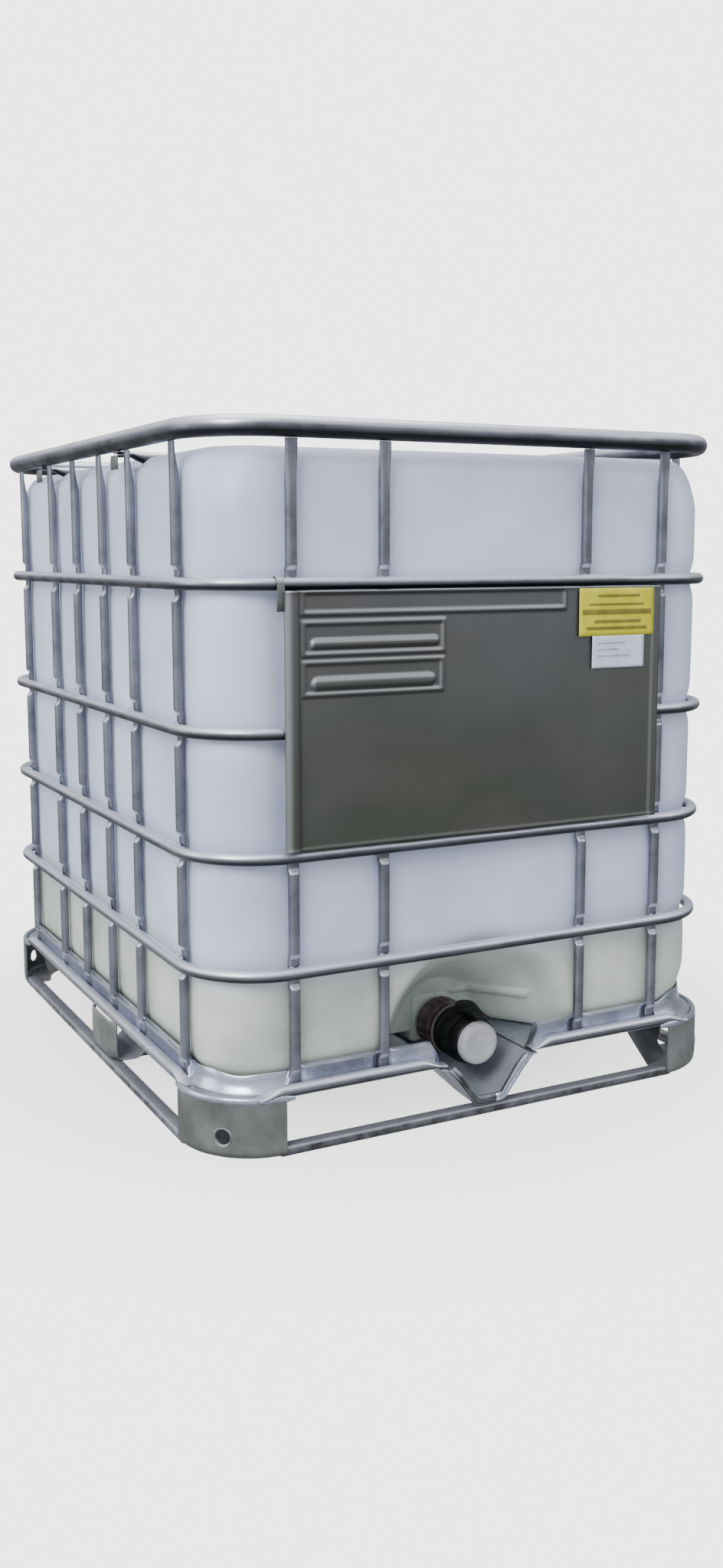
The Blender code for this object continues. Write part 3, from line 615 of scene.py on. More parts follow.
@dataclass(frozen=True)
class PlateSheet:
    """Weathered zinc sheet: cool near its top edge, greenish and darker below, with painted highlights on
    faces turned up and to the left and painted shade on faces turned down.
    """

    name: str = "plate_sheet_finish"
    upper: tuple[float, float, float] = (0.120, 0.125, 0.130)
    lower: tuple[float, float, float] = (0.078, 0.086, 0.070)
    cloud: tuple[float, float, float] = (0.115, 0.108, 0.100)
    # Colour of the painted highlight.
    painted_highlight_tone: tuple[float, float, float] = (0.34, 0.36, 0.39)
    heights: tuple[float, float] = (0.50, 0.84)

    def build(self) -> bpy.types.Material:
        """Make the material.

        Returns:
            The material.
        """
        g = Graph(self.name)
        level = g.tree.nodes.new("ShaderNodeMath")
        g.tree.links.new(g.height(), level.inputs[0])
        g.tree.links.new(g.spread(g.noise(4, 3), 0.3, 0.7, -0.10, 0.10), level.inputs[1])
        base = g.blend(g.spread(level.outputs[0], *self.heights), self.lower, self.upper)
        base = g.blend(g.spread(g.noise(7, 5, (0.6, 1, 1.6)), 0.45, 0.7, 0.0, 0.6), base, self.cloud)
        # Painted highlight on faces turned up, so the tops of the pressing look lit.
        base = g.blend(g.facing(0.08, 0.45, 0.0, 0.9), base, self.painted_highlight_tone)
        # Painted shade: faces turned down are darkened towards near-black.
        base = g.blend(g.facing(-0.5, -0.08, 0.75, 0.0), base, (0.016, 0.018, 0.016))
        # Painted highlight on faces turned to the left, towards the lights, such as the left fold.
        base = g.blend(g.facing(-0.60, -0.18, 0.40, 0.0, "X"), base, self.painted_highlight_tone)
        rough = g.spread(g.noise(11, 4), 0.3, 0.7, 0.34, 0.50)
        return g.finish(base, rough, 0.75, g.noise(180, 2, (0.3, 1, 2.5)), 0.0002)


@dataclass(frozen=True)
class BottlePlastic:
    """Uncoloured blow-moulded polyethylene, cool above and greenish near the floor."""

    name: str = "bottle_plastic"
    upper: tuple[float, float, float] = (0.52, 0.57, 0.75)
    upper_light: tuple[float, float, float] = (0.67, 0.72, 0.90)
    lower: tuple[float, float, float] = (0.42, 0.47, 0.42)
    lower_light: tuple[float, float, float] = (0.60, 0.65, 0.59)
    change: tuple[float, float] = (0.235, 0.315)

    def build(self) -> bpy.types.Material:
        """Make the material.

        Returns:
            The material.
        """
        g = Graph(self.name)
        cloud = g.spread(g.noise(4.5, 4), 0.35, 0.68)
        above = g.blend(cloud, self.upper, self.upper_light)
        below = g.blend(g.spread(g.noise(7, 4), 0.35, 0.65), self.lower, self.lower_light)
        level = g.tree.nodes.new("ShaderNodeMath")
        g.tree.links.new(g.height(), level.inputs[0])
        g.tree.links.new(g.spread(g.noise(5, 2), 0.0, 1.0, -0.03, 0.03), level.inputs[1])
        base = g.blend(g.spread(level.outputs[0], *self.change), below, above)
        rough = g.spread(g.noise(30, 3), 0.3, 0.7, 0.34, 0.46)
        return g.finish(base, rough, 0.0, g.noise(9, 3), 0.004, Subsurface_Weight=0.22,
                        Subsurface_Scale=0.02, Coat_Weight=0.08, Coat_Roughness=0.35)


@dataclass(frozen=True)
class Moulded:
    """Moulded plastic or rubber with a fine grain and rubbed patches."""

    name: str
    colour: tuple[float, float, float]
    rubbed: tuple[float, float, float]
    rough: tuple[float, float] = (0.38, 0.52)
    grain: float = 900.0
    shine: float = 0.5

    def build(self) -> bpy.types.Material:
        """Make the material.

        Returns:
            The material.
        """
        g = Graph(self.name)
        base = g.blend(g.spread(g.noise(45, 5), 0.42, 0.7), self.colour, self.rubbed)
        rough = g.spread(g.noise(60, 3), 0.3, 0.7, *self.rough)
        return g.finish(base, rough, 0.0, g.noise(self.grain, 2), 0.0002, Specular_IOR_Level=self.shine)


@dataclass(frozen=True)
class Finishes:
    """All materials of the container by slot."""

    table: dict[Slot, bpy.types.Material]
    special: dict[str, bpy.types.Material]

    @classmethod
    def make(cls) -> "Finishes":
        """Build every material.

        Returns:
            The finishes by slot and by own name.
        """
        tube = ((0.105, 0.112, 0.135), (0.215, 0.225, 0.265))
        tube_stain = (0.10, 0.105, 0.11)
        specs = {
            # The galvanised finishes paint light by facing: a pale painted highlight on faces turned up and
            # near-black painted shade on faces turned down, strongest on the tubes.
            Slot.TUBE: Galvanised("galvanised_tube_finish", *tube, stain=tube_stain, painted_highlight_above=0.9,
                                  painted_shade_below=0.95),
            Slot.SHEET: Galvanised("galvanised_sheet_finish", (0.21, 0.23, 0.30), (0.44, 0.47, 0.58),
                                   (0.18, 0.34), 0.9, 45.0, 0.5, (0.24, 0.26, 0.28), 0.4),
            Slot.FOOT: Galvanised("foot_sheet_finish", (0.120, 0.132, 0.128), (0.210, 0.222, 0.222),
                                  (0.48, 0.65), 0.7, 60.0, 0.25, (0.060, 0.060, 0.048), 0.75,
                                  painted_highlight_above=0.55),
            Slot.PLATE: PlateSheet(),
            Slot.BOTTLE: BottlePlastic(),
            Slot.CAP: Moulded("cap_plastic_finish", (0.34, 0.35, 0.37), (0.41, 0.42, 0.45)),
            Slot.LID: Moulded("lid_plastic_finish", (0.020, 0.020, 0.022), (0.045, 0.045, 0.05)),
            Slot.NUT: Moulded("nut_plastic_finish", (0.050, 0.030, 0.035), (0.14, 0.095, 0.105)),
            Slot.BLACK: Moulded("black_plastic_finish", (0.004, 0.005, 0.005), (0.010, 0.011, 0.013),
                                shine=0.16),
            Slot.RUBBER: Moulded("seal_rubber_finish", (0.03, 0.03, 0.03), (0.05, 0.05, 0.05), (0.7, 0.85)),
            Slot.STEEL: Galvanised("stem_steel_finish", (0.42, 0.43, 0.45), (0.58, 0.59, 0.62), (0.22, 0.34)),
            Slot.YELLOW: Moulded("yellow_label_finish", (0.52, 0.50, 0.015), (0.62, 0.60, 0.04), (0.35, 0.5)),
            Slot.WHITE: Moulded("white_label_finish", (0.58, 0.64, 0.76), (0.68, 0.73, 0.84), (0.35, 0.5)),
        }
        own = {
            # Uprights: painted highlights on faces turned up and down, so the dents look lit, and no painted
            # shade.
            "upright": Galvanised("upright_tube_finish", *tube, stain=tube_stain, painted_highlight_above=0.95,
                                  painted_shade_below=0.0, painted_highlight_below=0.85),
            # Runners: dark colour with painted shade on faces turned down; this finish also serves as painted
            # shade on the left half of the chute's turned edge.
            "runner": Galvanised("runner_bar_finish", (0.030, 0.033, 0.037), (0.13, 0.14, 0.155),
                                 (0.45, 0.62), 0.7, 40.0, 0.25, (0.20, 0.21, 0.23), 0.8, (3, 3, 3),
                                 painted_highlight_above=0.30, painted_shade_below=0.8),
            "chute": Galvanised("chute_sheet_finish", (0.15, 0.165, 0.20), (0.40, 0.45, 0.57), (0.30, 0.44),
                                0.55, 24.0, 0.30, (0.12, 0.13, 0.13), 0.6, painted_shade_below=0.6, painted_highlight_above=0.30),
            "tether": Moulded("tether_ring_finish", (0.13, 0.115, 0.11), (0.20, 0.18, 0.175)),
        }
        return cls({slot: spec.build() for slot, spec in specs.items()},
                   {word: spec.build() for word, spec in own.items()})

    def dress(self, item: bpy.types.Object, slot: Slot, nodes: Iterable[str] = (), body: str = ROOT,
              own: str = "") -> None:
        """Give a piece its material and body, and hide the frame nodes it stands for.

        Args:
            item: The piece.
            slot: Its material slot.
            nodes: Frame nodes it replaces.
            body: Body it rides on.
            own: Name of a finish of its own within the slot.
        """
        item.data.materials.clear()
        item.data.materials.append(self.special[own] if own else self.table[slot])
        names = list(nodes)
        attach(item, body)
        if names:
            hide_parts(*names)
        LOG.info("%s: %d faces on %s", item.name, len(item.data.polygons), body)


# ---- geometry node trees ----------------------------------------------------------------
class Tree:
    """A geometry node tree with named inputs."""

    def __init__(self, name: str, inputs: Sequence[tuple[str, str, object]]) -> None:
        """Start a tree.

        Args:
            name: Name of the tree.
            inputs: Name, socket type and default of each input.
        """
        self.tree = bpy.data.node_groups.new(name, "GeometryNodeTree")
        face = self.tree.interface
        face.new_socket("Geometry", in_out="INPUT", socket_type="NodeSocketGeometry")
        self.keys: dict[str, str] = {}
        for label, kind, default in inputs:
            socket = face.new_socket(label, in_out="INPUT", socket_type=kind)
            if default is not None:
                socket.default_value = default
            self.keys[label] = socket.identifier
        face.new_socket("Geometry", in_out="OUTPUT", socket_type="NodeSocketGeometry")
        self.start = self.tree.nodes.new("NodeGroupInput")
        self.end = self.tree.nodes.new("NodeGroupOutput")

    def add(self, kind: str, links: dict[str, bpy.types.NodeSocket] | None = None, mode: str = "",
            **values: object) -> bpy.types.Node:
        """Add a node, set its mode and input values by name and link inputs.

        Args:
            kind: Node type.
            links: What feeds each input.
            mode: Mode that the node is set to.
            values: Input values by name, with _ for a space.

        Returns:
            The new node.
        """
        node = self.tree.nodes.new(kind)
        if mode:
            node.mode = mode
        for key, value in values.items():
            node.inputs[key.replace("_", " ")].default_value = value
        for key, socket in (links or {}).items():
            self.tree.links.new(socket, node.inputs[key])
        return node

    def given(self, label: str) -> bpy.types.NodeSocket:
        """Output of a named input."""
        return self.start.outputs[label]

    def close(self, geometry: bpy.types.NodeSocket) -> None:
        """Realise instances, set the material and end the tree.

        Args:
            geometry: Geometry to finish.
        """
        real = self.add("GeometryNodeRealizeInstances", {"Geometry": geometry})
        done = self.add("GeometryNodeSetMaterial",
                        {"Geometry": real.outputs[0], "Material": self.given("Material")})
        self.tree.links.new(done.outputs[0], self.end.inputs[0])

    def apply(self, name: str, mesh: bpy.types.Mesh, values: dict[str, object]) -> bpy.types.Object:
        """Run the tree on a mesh and keep the result as a plain mesh.

        Args:
            name: Name of the new object.
            mesh: Mesh that the tree works on.
            values: Inputs of the tree by name.

        Returns:
            The new object.
        """
        item = link(name, mesh)
        step = item.modifiers.new("shape", "NODES")
        step.node_group = self.tree
        for label, value in values.items():
            step[self.keys[label]] = value
        item.update_tag()
        return bake(item)


def loop_tree() -> Tree:
    """Tree that sweeps a round tube round a rounded rectangle.

    Returns:
        The finished tree.
    """
    made = Tree("tube_loop", [("Width", "NodeSocketFloat", 1.0), ("Length", "NodeSocketFloat", 1.0),
                              ("Corner", "NodeSocketFloat", 0.1), ("Radius", "NodeSocketFloat", 0.01),
                              ("Height", "NodeSocketFloat", 0.0), ("Material", "NodeSocketMaterial", None)])
    path = made.add("GeometryNodeCurvePrimitiveQuadrilateral",
                    {"Width": made.given("Width"), "Height": made.given("Length")})
    fillet = made.add("GeometryNodeFilletCurve", {"Curve": path.outputs[0], "Radius": made.given("Corner")},
                      mode="POLY", Count=20)
    ring = made.add("GeometryNodeCurvePrimitiveCircle", {"Radius": made.given("Radius")}, Resolution=28)
    tube = made.add("GeometryNodeCurveToMesh", {"Curve": fillet.outputs[0], "Profile Curve": ring.outputs[0]})
    place = made.add("ShaderNodeCombineXYZ", {"Z": made.given("Height")})
    lifted = made.add("GeometryNodeTransform", {"Geometry": tube.outputs[0], "Translation": place.outputs[0]})
    made.close(lifted.outputs[0])
    return made


def copies_tree() -> Tree:
    """Tree that puts a copy of one shape on every point, turned by the point's own angles.

    Returns:
        The finished tree.
    """
    made = Tree("copies_on_points", [("Shape", "NodeSocketObject", None), ("Scale", "NodeSocketFloat", 1.0),
                                     ("Material", "NodeSocketMaterial", None)])
    shape = made.add("GeometryNodeObjectInfo", {"Object": made.given("Shape")})
    angles = made.tree.nodes.new("GeometryNodeInputNamedAttribute")
    angles.data_type = "FLOAT_VECTOR"
    angles.inputs["Name"].default_value = "turn"
    spin = made.add("FunctionNodeEulerToRotation", {"Euler": angles.outputs["Attribute"]})
    copies = made.add("GeometryNodeInstanceOnPoints",
                      {"Points": made.given("Geometry"), "Instance": shape.outputs["Geometry"],
                       "Rotation": spin.outputs[0], "Scale": made.given("Scale")})
    made.close(copies.outputs[0])
    return made


class Copies:
    """Repeats small shapes through the copies tree."""

    def __init__(self, finishes: Finishes) -> None:
        """Keep the finishes and make the tree."""
        self.finishes = finishes
        self.tree = copies_tree()

    def spread(self, name: str, shape: bpy.types.Object, spots: Sequence[tuple[Vector, Vector]],
               slot: Slot) -> bpy.types.Object:
        """Put the shape on spots of (place, angles) and remove the shape itself.

        Args:
            name: Name of the new object.
            shape: Object to repeat.
            spots: Place and angles of each copy.
            slot: Finish of the copies.

        Returns:
            One object with every copy.
        """
        mesh = bpy.data.meshes.new(name + "_points")
        mesh.from_pydata([tuple(place) for place, _ in spots], [], [])
        turn = mesh.attributes.new("turn", "FLOAT_VECTOR", "POINT")
        turn.data.foreach_set("vector", [a for _, angles in spots for a in angles])
        item = self.tree.apply(name, mesh, {"Shape": shape, "Scale": 1.0,
                                            "Material": self.finishes.table[slot]})
        bpy.data.objects.remove(shape, do_unlink=True)
        item.data.shade_smooth()
        item.data.set_sharp_from_angle(angle=math.radians(38))
        return item


# ---- cage -------------------------------------------------------------------------------
@dataclass
class Cage:
    """Rings, top rail, dented uprights and their welds."""

    finishes: Finishes
    copies: Copies
    corner: float = 0.142
    dent_flat: float = 0.019
    dent_end: float = 0.0285
    flat_length: float = 0.060
    flat_depth: float = 0.0075
    flat_end: float = 0.008
    dent_step: float = 0.0024
    dent_steps: int = 14
    widening: float = 0.16
    gap: float = 0.0003
    weld_back: float = 0.80
    weld_offset: float = 0.0075

    def build(self) -> None:
        """Build the whole cage."""
        tree = loop_tree()
        for name in ("cage_ring_1", "cage_ring_2", "cage_ring_3", "cage_ring_4", "top_rail"):
            e = Extent.of(name)
            r = e.size.z / 2
            item = tree.apply(f"{name}_tube", bpy.data.meshes.new(name + "_seed"), {
                "Width": e.size.x - 2 * r, "Length": e.size.y - 2 * r, "Corner": self.corner - r, "Radius": r,
                "Height": e.middle.z, "Material": self.finishes.table[Slot.TUBE]})
            item.data.shade_smooth()
            self.finishes.dress(item, Slot.TUBE, [name])
        self.uprights()
        self.welds()

    def spots(self) -> list[tuple[Side, Vector, str]]:
        """Side, place on the floor and node name of every upright.

        Returns:
            Side, place and node name of each upright.
        """
        made = []
        for side, word, count in ((Side.FRONT, "front", 4), (Side.REAR, "rear", 4), (Side.LEFT, "left", 6),
                                  (Side.RIGHT, "right", 6)):
            for number in range(1, count + 1):
                name = f"cage_bar_{word}_{number}"
                e = Extent.of(name)
                made.append((side, Vector((e.middle.x, e.middle.y, 0)), name))
        return made

    def upright(self) -> bpy.types.Object:
        """One upright at the origin with its outer side to -Y.

        Returns:
            The shape to copy.
        """
        bar, ring = Extent.of("cage_bar_front_1"), Extent.of("cage_ring_1")
        heights = [Extent.of("base_tube_left").middle.z]
        heights += [Extent.of(f"cage_ring_{n}").middle.z for n in range(1, 5)]
        half_w, half_d = bar.size.x / 2, bar.size.y / 2
        reach = bar.middle.y - (ring.low.y + ring.size.z) - self.gap
        low, high = bar.low.z, bar.high.z
        levels = {low, high}
        for h in heights:
            levels.update(h + i * self.dent_step for i in range(-self.dent_steps, self.dent_steps + 1))
        levels.update(high - self.flat_length * i / 12 for i in range(13))
        levels.update(low + (high - low) * i / 24 for i in range(25))
        rows = []
        for z in sorted(v for v in levels if low <= v <= high):
            dent = max(window(z - h, self.dent_flat, self.dent_end) for h in heights)
            flat = smooth(z, high - self.flat_length, high - self.flat_end)
            outer = -half_d + (half_d - reach) * dent
            inner = half_d - (2 * half_d - self.flat_depth) * flat
            lost = 2 * half_d - (inner - outer)
            section = oval(half_w + self.widening * lost, (inner - outer) / 2, 20, 0.9)
            rows.append([Vector((x, (outer + inner) / 2 + y, z)) for x, y in section])
        return loft("upright_shape", rows, sharp=50)

    def uprights(self) -> None:
        """Every upright as one piece per side."""
        spots = self.spots()
        for side in Side:
            chosen = [s for s in spots if s[0] is side]
            places = [(p, Vector((0, 0, math.radians(side.value)))) for _, p, _ in chosen]
            item = self.copies.spread(f"uprights_{side.name.lower()}", self.upright(), places, Slot.TUBE)
            self.finishes.dress(item, Slot.TUBE, [name for _, _, name in chosen], own="upright")

    def welds(self) -> None:
        """Weld nuggets where rings cross uprights."""
        ring = Extent.of("cage_ring_1")
        back = ring.size.z * self.weld_back
        places = []
        for side, spot, _ in self.spots():
            turn = math.radians(side.value)
            out = Matrix.Rotation(turn, 3, "Z") @ Vector((0, -1, 0))
            along = Vector((-out.y, out.x, 0))
            edge = ring.high.x if side in (Side.LEFT, Side.RIGHT) else ring.high.y
            flat = spot - out * spot.dot(out) + out * (edge - back)
            for number in range(1, 5):
                z = Extent.of(f"cage_ring_{number}").middle.z
                for way in (-1, 1):
                    place = flat + along * way * self.weld_offset + Vector((0, 0, z + self.weld_offset))
                    places.append((place, Vector((0, 0, turn))))
        levels = ((0.3, -0.003), (0.85, -0.0018), (1, 0), (0.85, 0.0018), (0.3, 0.003))
        shape = loft("nugget", [[Vector((x * s, y * s, z)) for x, y in oval(0.0045, 0.003, 8)]
                                for s, z in levels])
        item = self.copies.spread("ring_welds", shape, places, Slot.TUBE)
        self.finishes.dress(item, Slot.TUBE)


@dataclass
class Crossbars:
    """Tubes over the bottle with flat tabs, clamps and bolts under the rail."""

    finishes: Finishes
    copies: Copies
    pressed: float = 0.050
    tab: float = 0.012
    tab_half_thick: float = 0.0022
    tab_half_wide: float = 0.0122
    steps: int = 60
    bolt_inset: float = 0.010
    bolt_drop: float = 0.0045

    def build(self) -> None:
        """Build both crossbars and their bolts."""
        bolts = []
        for name in ("crossbar_front", "crossbar_rear"):
            e = Extent.of(name)
            y, r = e.middle.y, e.size.z / 2
            rows = []
            for i in range(self.steps + 1):
                x = e.low.x + e.size.x * i / self.steps
                edge = min(x - e.low.x, e.high.x - x)
                flat = 1 - smooth(edge, self.tab, self.pressed)
                half_z = r + (self.tab_half_thick - r) * flat
                half_y = r + (self.tab_half_wide - r) * flat
                z = e.high.z - half_z
                rows.append([Vector((x, y + a, z + b)) for a, b in oval(half_y, half_z, 24, 0.92)])
            self.finishes.dress(loft(f"{name}_tube", rows, sharp=50), Slot.TUBE, [name])
            for side in (-1, 1):
                x = side * (e.high.x - self.bolt_inset)
                bolts.append((Vector((x, y, e.high.z - self.bolt_drop)), Vector((math.pi, 0, 0))))
                self.clamp(name, x, y, e.high.z, side)
        head = rounded_profile(((0, 0.0058), (0.0062, 0.0052), (0.0068, 0.0), (0, 0.0)), 0.001)
        shape = turned("bolt_shape", head, Vector(), Vector((0, 0, 1)), 12)
        self.finishes.dress(self.copies.spread("crossbar_bolts", shape, bolts, Slot.FOOT), Slot.FOOT)

    def clamp(self, name: str, x: float, y: float, top: float, side: int) -> None:
        """Folded clamp plate that holds a crossbar's end under the rail.

        Args:
            name: Node of the crossbar.
            x: X of the bolt through the bar's end.
            y: Y of the bar.
            top: Height of the bar's top.
            side: -1 at the left end, 1 at the right.
        """
        out = x + side * 0.012
        fold = ((-0.030, 0.005), (-0.012, 0.006), (0.0, 0.008), (0.001, 0.020), (0.0, 0.030))
        path = [(out + side * along, top - down) for along, down in fold]
        rows = [[Vector((px, y + w, pz)) for px, pz in path] for w in (-0.017, -0.006, 0.006, 0.017)]
        item = sheet(f"{name}_clamp_{'right' if side > 0 else 'left'}", rows, 0.0025, bevel=0.0005)
        self.finishes.dress(item, Slot.FOOT)


# ---- base -------------------------------------------------------------------------------
@dataclass
class BaseTubes:
    """Tubes round the foot of the cage with pressed ends."""

    finishes: Finishes
    pressed: float = 0.045
    end_flat: float = 0.002
    end_half_tall: float = 0.0026
    end_half_wide: float = 0.0120
    end_shift: float = 0.0025
    steps: int = 96

    def build(self) -> None:
        """Build the five tubes."""
        for word in ("left", "right", "rear", "front_left", "front_right"):
            name = f"base_tube_{word}"
            e = Extent.of(name)
            axis = 0 if e.size.x > e.size.y else 1
            across = 1 - axis
            r = e.size.z / 2
            rows = []
            for i in range(self.steps + 1):
                along = e.low[axis] + e.size[axis] * i / self.steps
                edge = min(along - e.low[axis], e.high[axis] - along)
                flat = 1 - smooth(edge, self.end_flat, self.pressed)
                half_z = r + (self.end_half_tall - r) * flat
                half_s = r + (self.end_half_wide - r) * flat
                centre = e.middle[across] - math.copysign(self.end_shift * flat, e.middle[across])
                row = []
                for a, b in oval(half_s, half_z, 24, 0.95):
                    spot = Vector((0, 0, e.low.z + half_z + b))
                    spot[axis], spot[across] = along, centre + a
                    row.append(spot)
                rows.append(row)
            self.finishes.dress(loft(f"{name}_pressed", rows, sharp=50), Slot.TUBE, [name])


@dataclass
class Tray:
    """Base sheet, its pressed rim between the uprights and the rolled corners."""

    finishes: Finishes
    corner: float = 0.130
    opening: float = 0.082
    opening_depth: float = 0.330
    lip: float = 0.0055
    scallop: float = 0.0085
    run_out: float = 0.020
    inset: float = 0.011
    hem_radius: float = 0.0062
    far_lift: float = 0.50
    sheet_gap: float = 0.0003
    floor_thickness: float = 0.002
    rim_thickness: float = 0.0014
    bowl_thickness: float = 0.0012
    rim_inset: float = 0.004
    corner_steps: int = 16
    bowl_steps: int = 32
    bowl_step: float = 0.004
    hem_steps: int = 24
    hem_step: float = 0.008

    def build(self) -> None:
        """Build floor, rims and hems."""
        e = Extent.of("base_tray")
        floor = self.floor(e)
        fronts = [Extent.of(f"cage_bar_front_{n}").middle.x for n in range(1, 5)]
        sides = [Extent.of(f"cage_bar_left_{n}").middle.y for n in range(1, 7)]
        wall_l = -Extent.of("cage_bar_front_1").high.y
        wall_w = -Extent.of("cage_bar_left_1").high.x
        run, gap = self.run_out, self.opening + self.rim_inset
        stretches = (("rim_rear", Side.REAR, wall_l, fronts, fronts[0] - run, fronts[3] + run),
                     ("rim_front_left", Side.FRONT, wall_l, fronts[:2], fronts[0] - run, -gap),
                     ("rim_front_right", Side.FRONT, wall_l, fronts[2:], gap, fronts[3] + run),
                     ("rim_left", Side.LEFT, wall_w, [-y for y in sides], sides[0] - run, sides[5] + run),
                     ("rim_right", Side.RIGHT, wall_w, sides, sides[0] - run, sides[5] + run))
        rims = [self.rim(*stretch, e) for stretch in stretches]
        rims += self.hems() + self.bowls(e)
        self.finishes.dress(merged("tray_sheet", [floor, *rims]), Slot.SHEET, ["base_tray"])

    def floor(self, e: Extent) -> bpy.types.Object:
        """Flat floor with its corners and the opening for the chute.

        Args:
            e: Box round the tray.

        Returns:
            The new object.
        """
        top = Extent.of("base_tube_left").low.z - self.sheet_gap
        steps = self.corner_steps
        half_w, half_l = e.high.x - self.inset, e.high.y - self.inset
        outline = rounded_outline(half_w, half_l, self.corner - self.inset, steps)
        start = 3 * (steps + 1)
        back = -e.high.y + self.opening_depth
        wide = self.opening
        notch = [(-wide, -half_l), (-wide, back), (wide, back), (wide, -half_l)]
        points = outline[:start] + notch + outline[start:]
        bm = bmesh.new()
        ring = [bm.verts.new((x, y, top - self.floor_thickness)) for x, y in points]
        edges = [bm.edges.new((a, b)) for a, b in zip(ring, ring[1:] + ring[:1])]
        bmesh.ops.triangle_fill(bm, edges=edges, use_beauty=True, normal=(0, 0, 1))
        mesh = bpy.data.meshes.new("tray_floor")
        bm.to_mesh(mesh)
        bm.free()
        item = link("tray_floor", mesh)
        wall = item.modifiers.new("wall", "SOLIDIFY")
        wall.thickness = self.floor_thickness
        wall.offset = 1.0
        return bake(item)

    def rim(self, name: str, side: Side, wall: float, bars: Sequence[float], start: float, end: float,
            e: Extent) -> bpy.types.Object:
        """Pressed rim along one side, set back behind each upright and full between them.

        Args:
            name: Name of the piece.
            side: Side of the container.
            wall: Distance of the rim's back from the middle.
            bars: Places of the uprights along the side.
            start: Where the rim starts along the side.
            end: Where it ends.
            e: Extent of the tray.

        Returns:
            The rim as a thin sheet.
        """
        base = e.low.z + 0.002
        top = e.high.z - 0.003
        turn = Matrix.Rotation(math.radians(side.value), 3, "Z")
        count = max(24, int((end - start) / 0.006))
        rows = []
        for i in range(count + 1):
            s = start + (end - start) * i / count
            rise = smooth(s, start - 0.002, start + self.run_out)
            rise *= smooth(-s, -end - 0.002, -end + self.run_out)
            near = min(abs(s - b) for b in bars)
            out = smooth(near, 0.011, 0.024)
            z = base + (top - base) * max(rise, 0.03)
            push = self.scallop * out
            wave = 0.00036 * math.sin(s * 41)
            profile = ((0.0, base - 0.0005), (0.0002, z - 0.002), (0.0015, z),
                       (self.lip * 0.5 + push * 0.5, z + wave), (self.lip * 0.7 + push * 0.75, z - 0.0022),
                       (0.0015 + push * 0.80, z - 0.008 * rise - 0.002),
                       (0.0012 + push * 0.72, base + (z - base) * 0.5),
                       (0.0025 + push, base + (z - base) * 0.18), (0.012 + push * 0.2, base + 0.0004))
            rows.append([turn @ Vector((s, -wall - a, h)) for a, h in profile])
        return sheet(name, rows, self.rim_thickness, offset=1.0)

    def bowls(self, e: Extent) -> list[bpy.types.Object]:
        """Bright sheet that rises from each corner's rolled edge to the bottle.

        Args:
            e: Box round the tray.

        Returns:
            One object for each corner.
        """
        made = []
        profile = ((0.0975, 0.0345), (0.0985, 0.0350), (0.0995, 0.0335), (0.1005, 0.026), (0.1040, 0.014),
                   (0.1105, 0.0065), (0.1160, 0.0060), (0.1225, 0.0035))
        last = self.bowl_steps
        for sx, sy in CORNERS:
            centre = Vector((sx * (e.high.x - self.corner), sy * (e.high.y - self.corner), e.low.z))
            rows = []
            lift = self.far_lift if (sx, sy) == FAR_CORNER else 0.0
            for step in range(-7, last + 8):
                a = math.radians(90 * min(last, max(0, step)) / last)
                out = Vector((math.cos(a), math.sin(a), 0))
                beyond = Vector((-max(0, step - last) * self.bowl_step, min(0, step) * self.bowl_step, 0))
                wave = 1 + 0.10 * math.sin(5 * a) * math.sin(a * 2) + lift * window(a - 0.55, 0.50, 1.10)
                row = [out * r + beyond + Vector((0, 0, h * wave)) for r, h in profile]
                rows.append([centre + Vector((sx * p.x, sy * p.y, p.z)) for p in row])
            made.append(sheet("bowl", rows, self.bowl_thickness, offset=0.0))
        return made

    def hems(self) -> list[bpy.types.Object]:
        """Rolled edge round the top of each corner foot.

        Returns:
            One object for each corner.
        """
        made = []
        e = Extent.of("corner_foot_front_left")
        whole = CAD_BOX[1]
        radius = self.corner - self.hem_radius * 0.75
        last = self.hem_steps
        for sx, sy in CORNERS:
            centre = Vector((sx * (whole.x - self.corner), sy * (whole.y - self.corner), e.high.z + 0.0034))
            rows = []
            for step in range(-2, last + 3):
                a = math.radians(90 * min(last, max(0, step)) / last)
                beyond = max(-step, step - last, 0)
                out = Vector((math.cos(a), math.sin(a), 0))
                along = Vector((0, -1, 0)) if step < 0 else Vector((-1, 0, 0))
                spot = out * radius + along * beyond * self.hem_step
                fade = 1 - 0.5 * beyond / 2
                r = self.hem_radius * fade
                drop = 0.002 * (1 - fade)
                rows.append([centre + Vector((sx * (spot.x + out.x * a), sy * (spot.y + out.y * a), b - drop))
                             for a, b in oval(r * 0.75, r, 14)])
            made.append(loft("hem", rows, sharp=50))
        return made


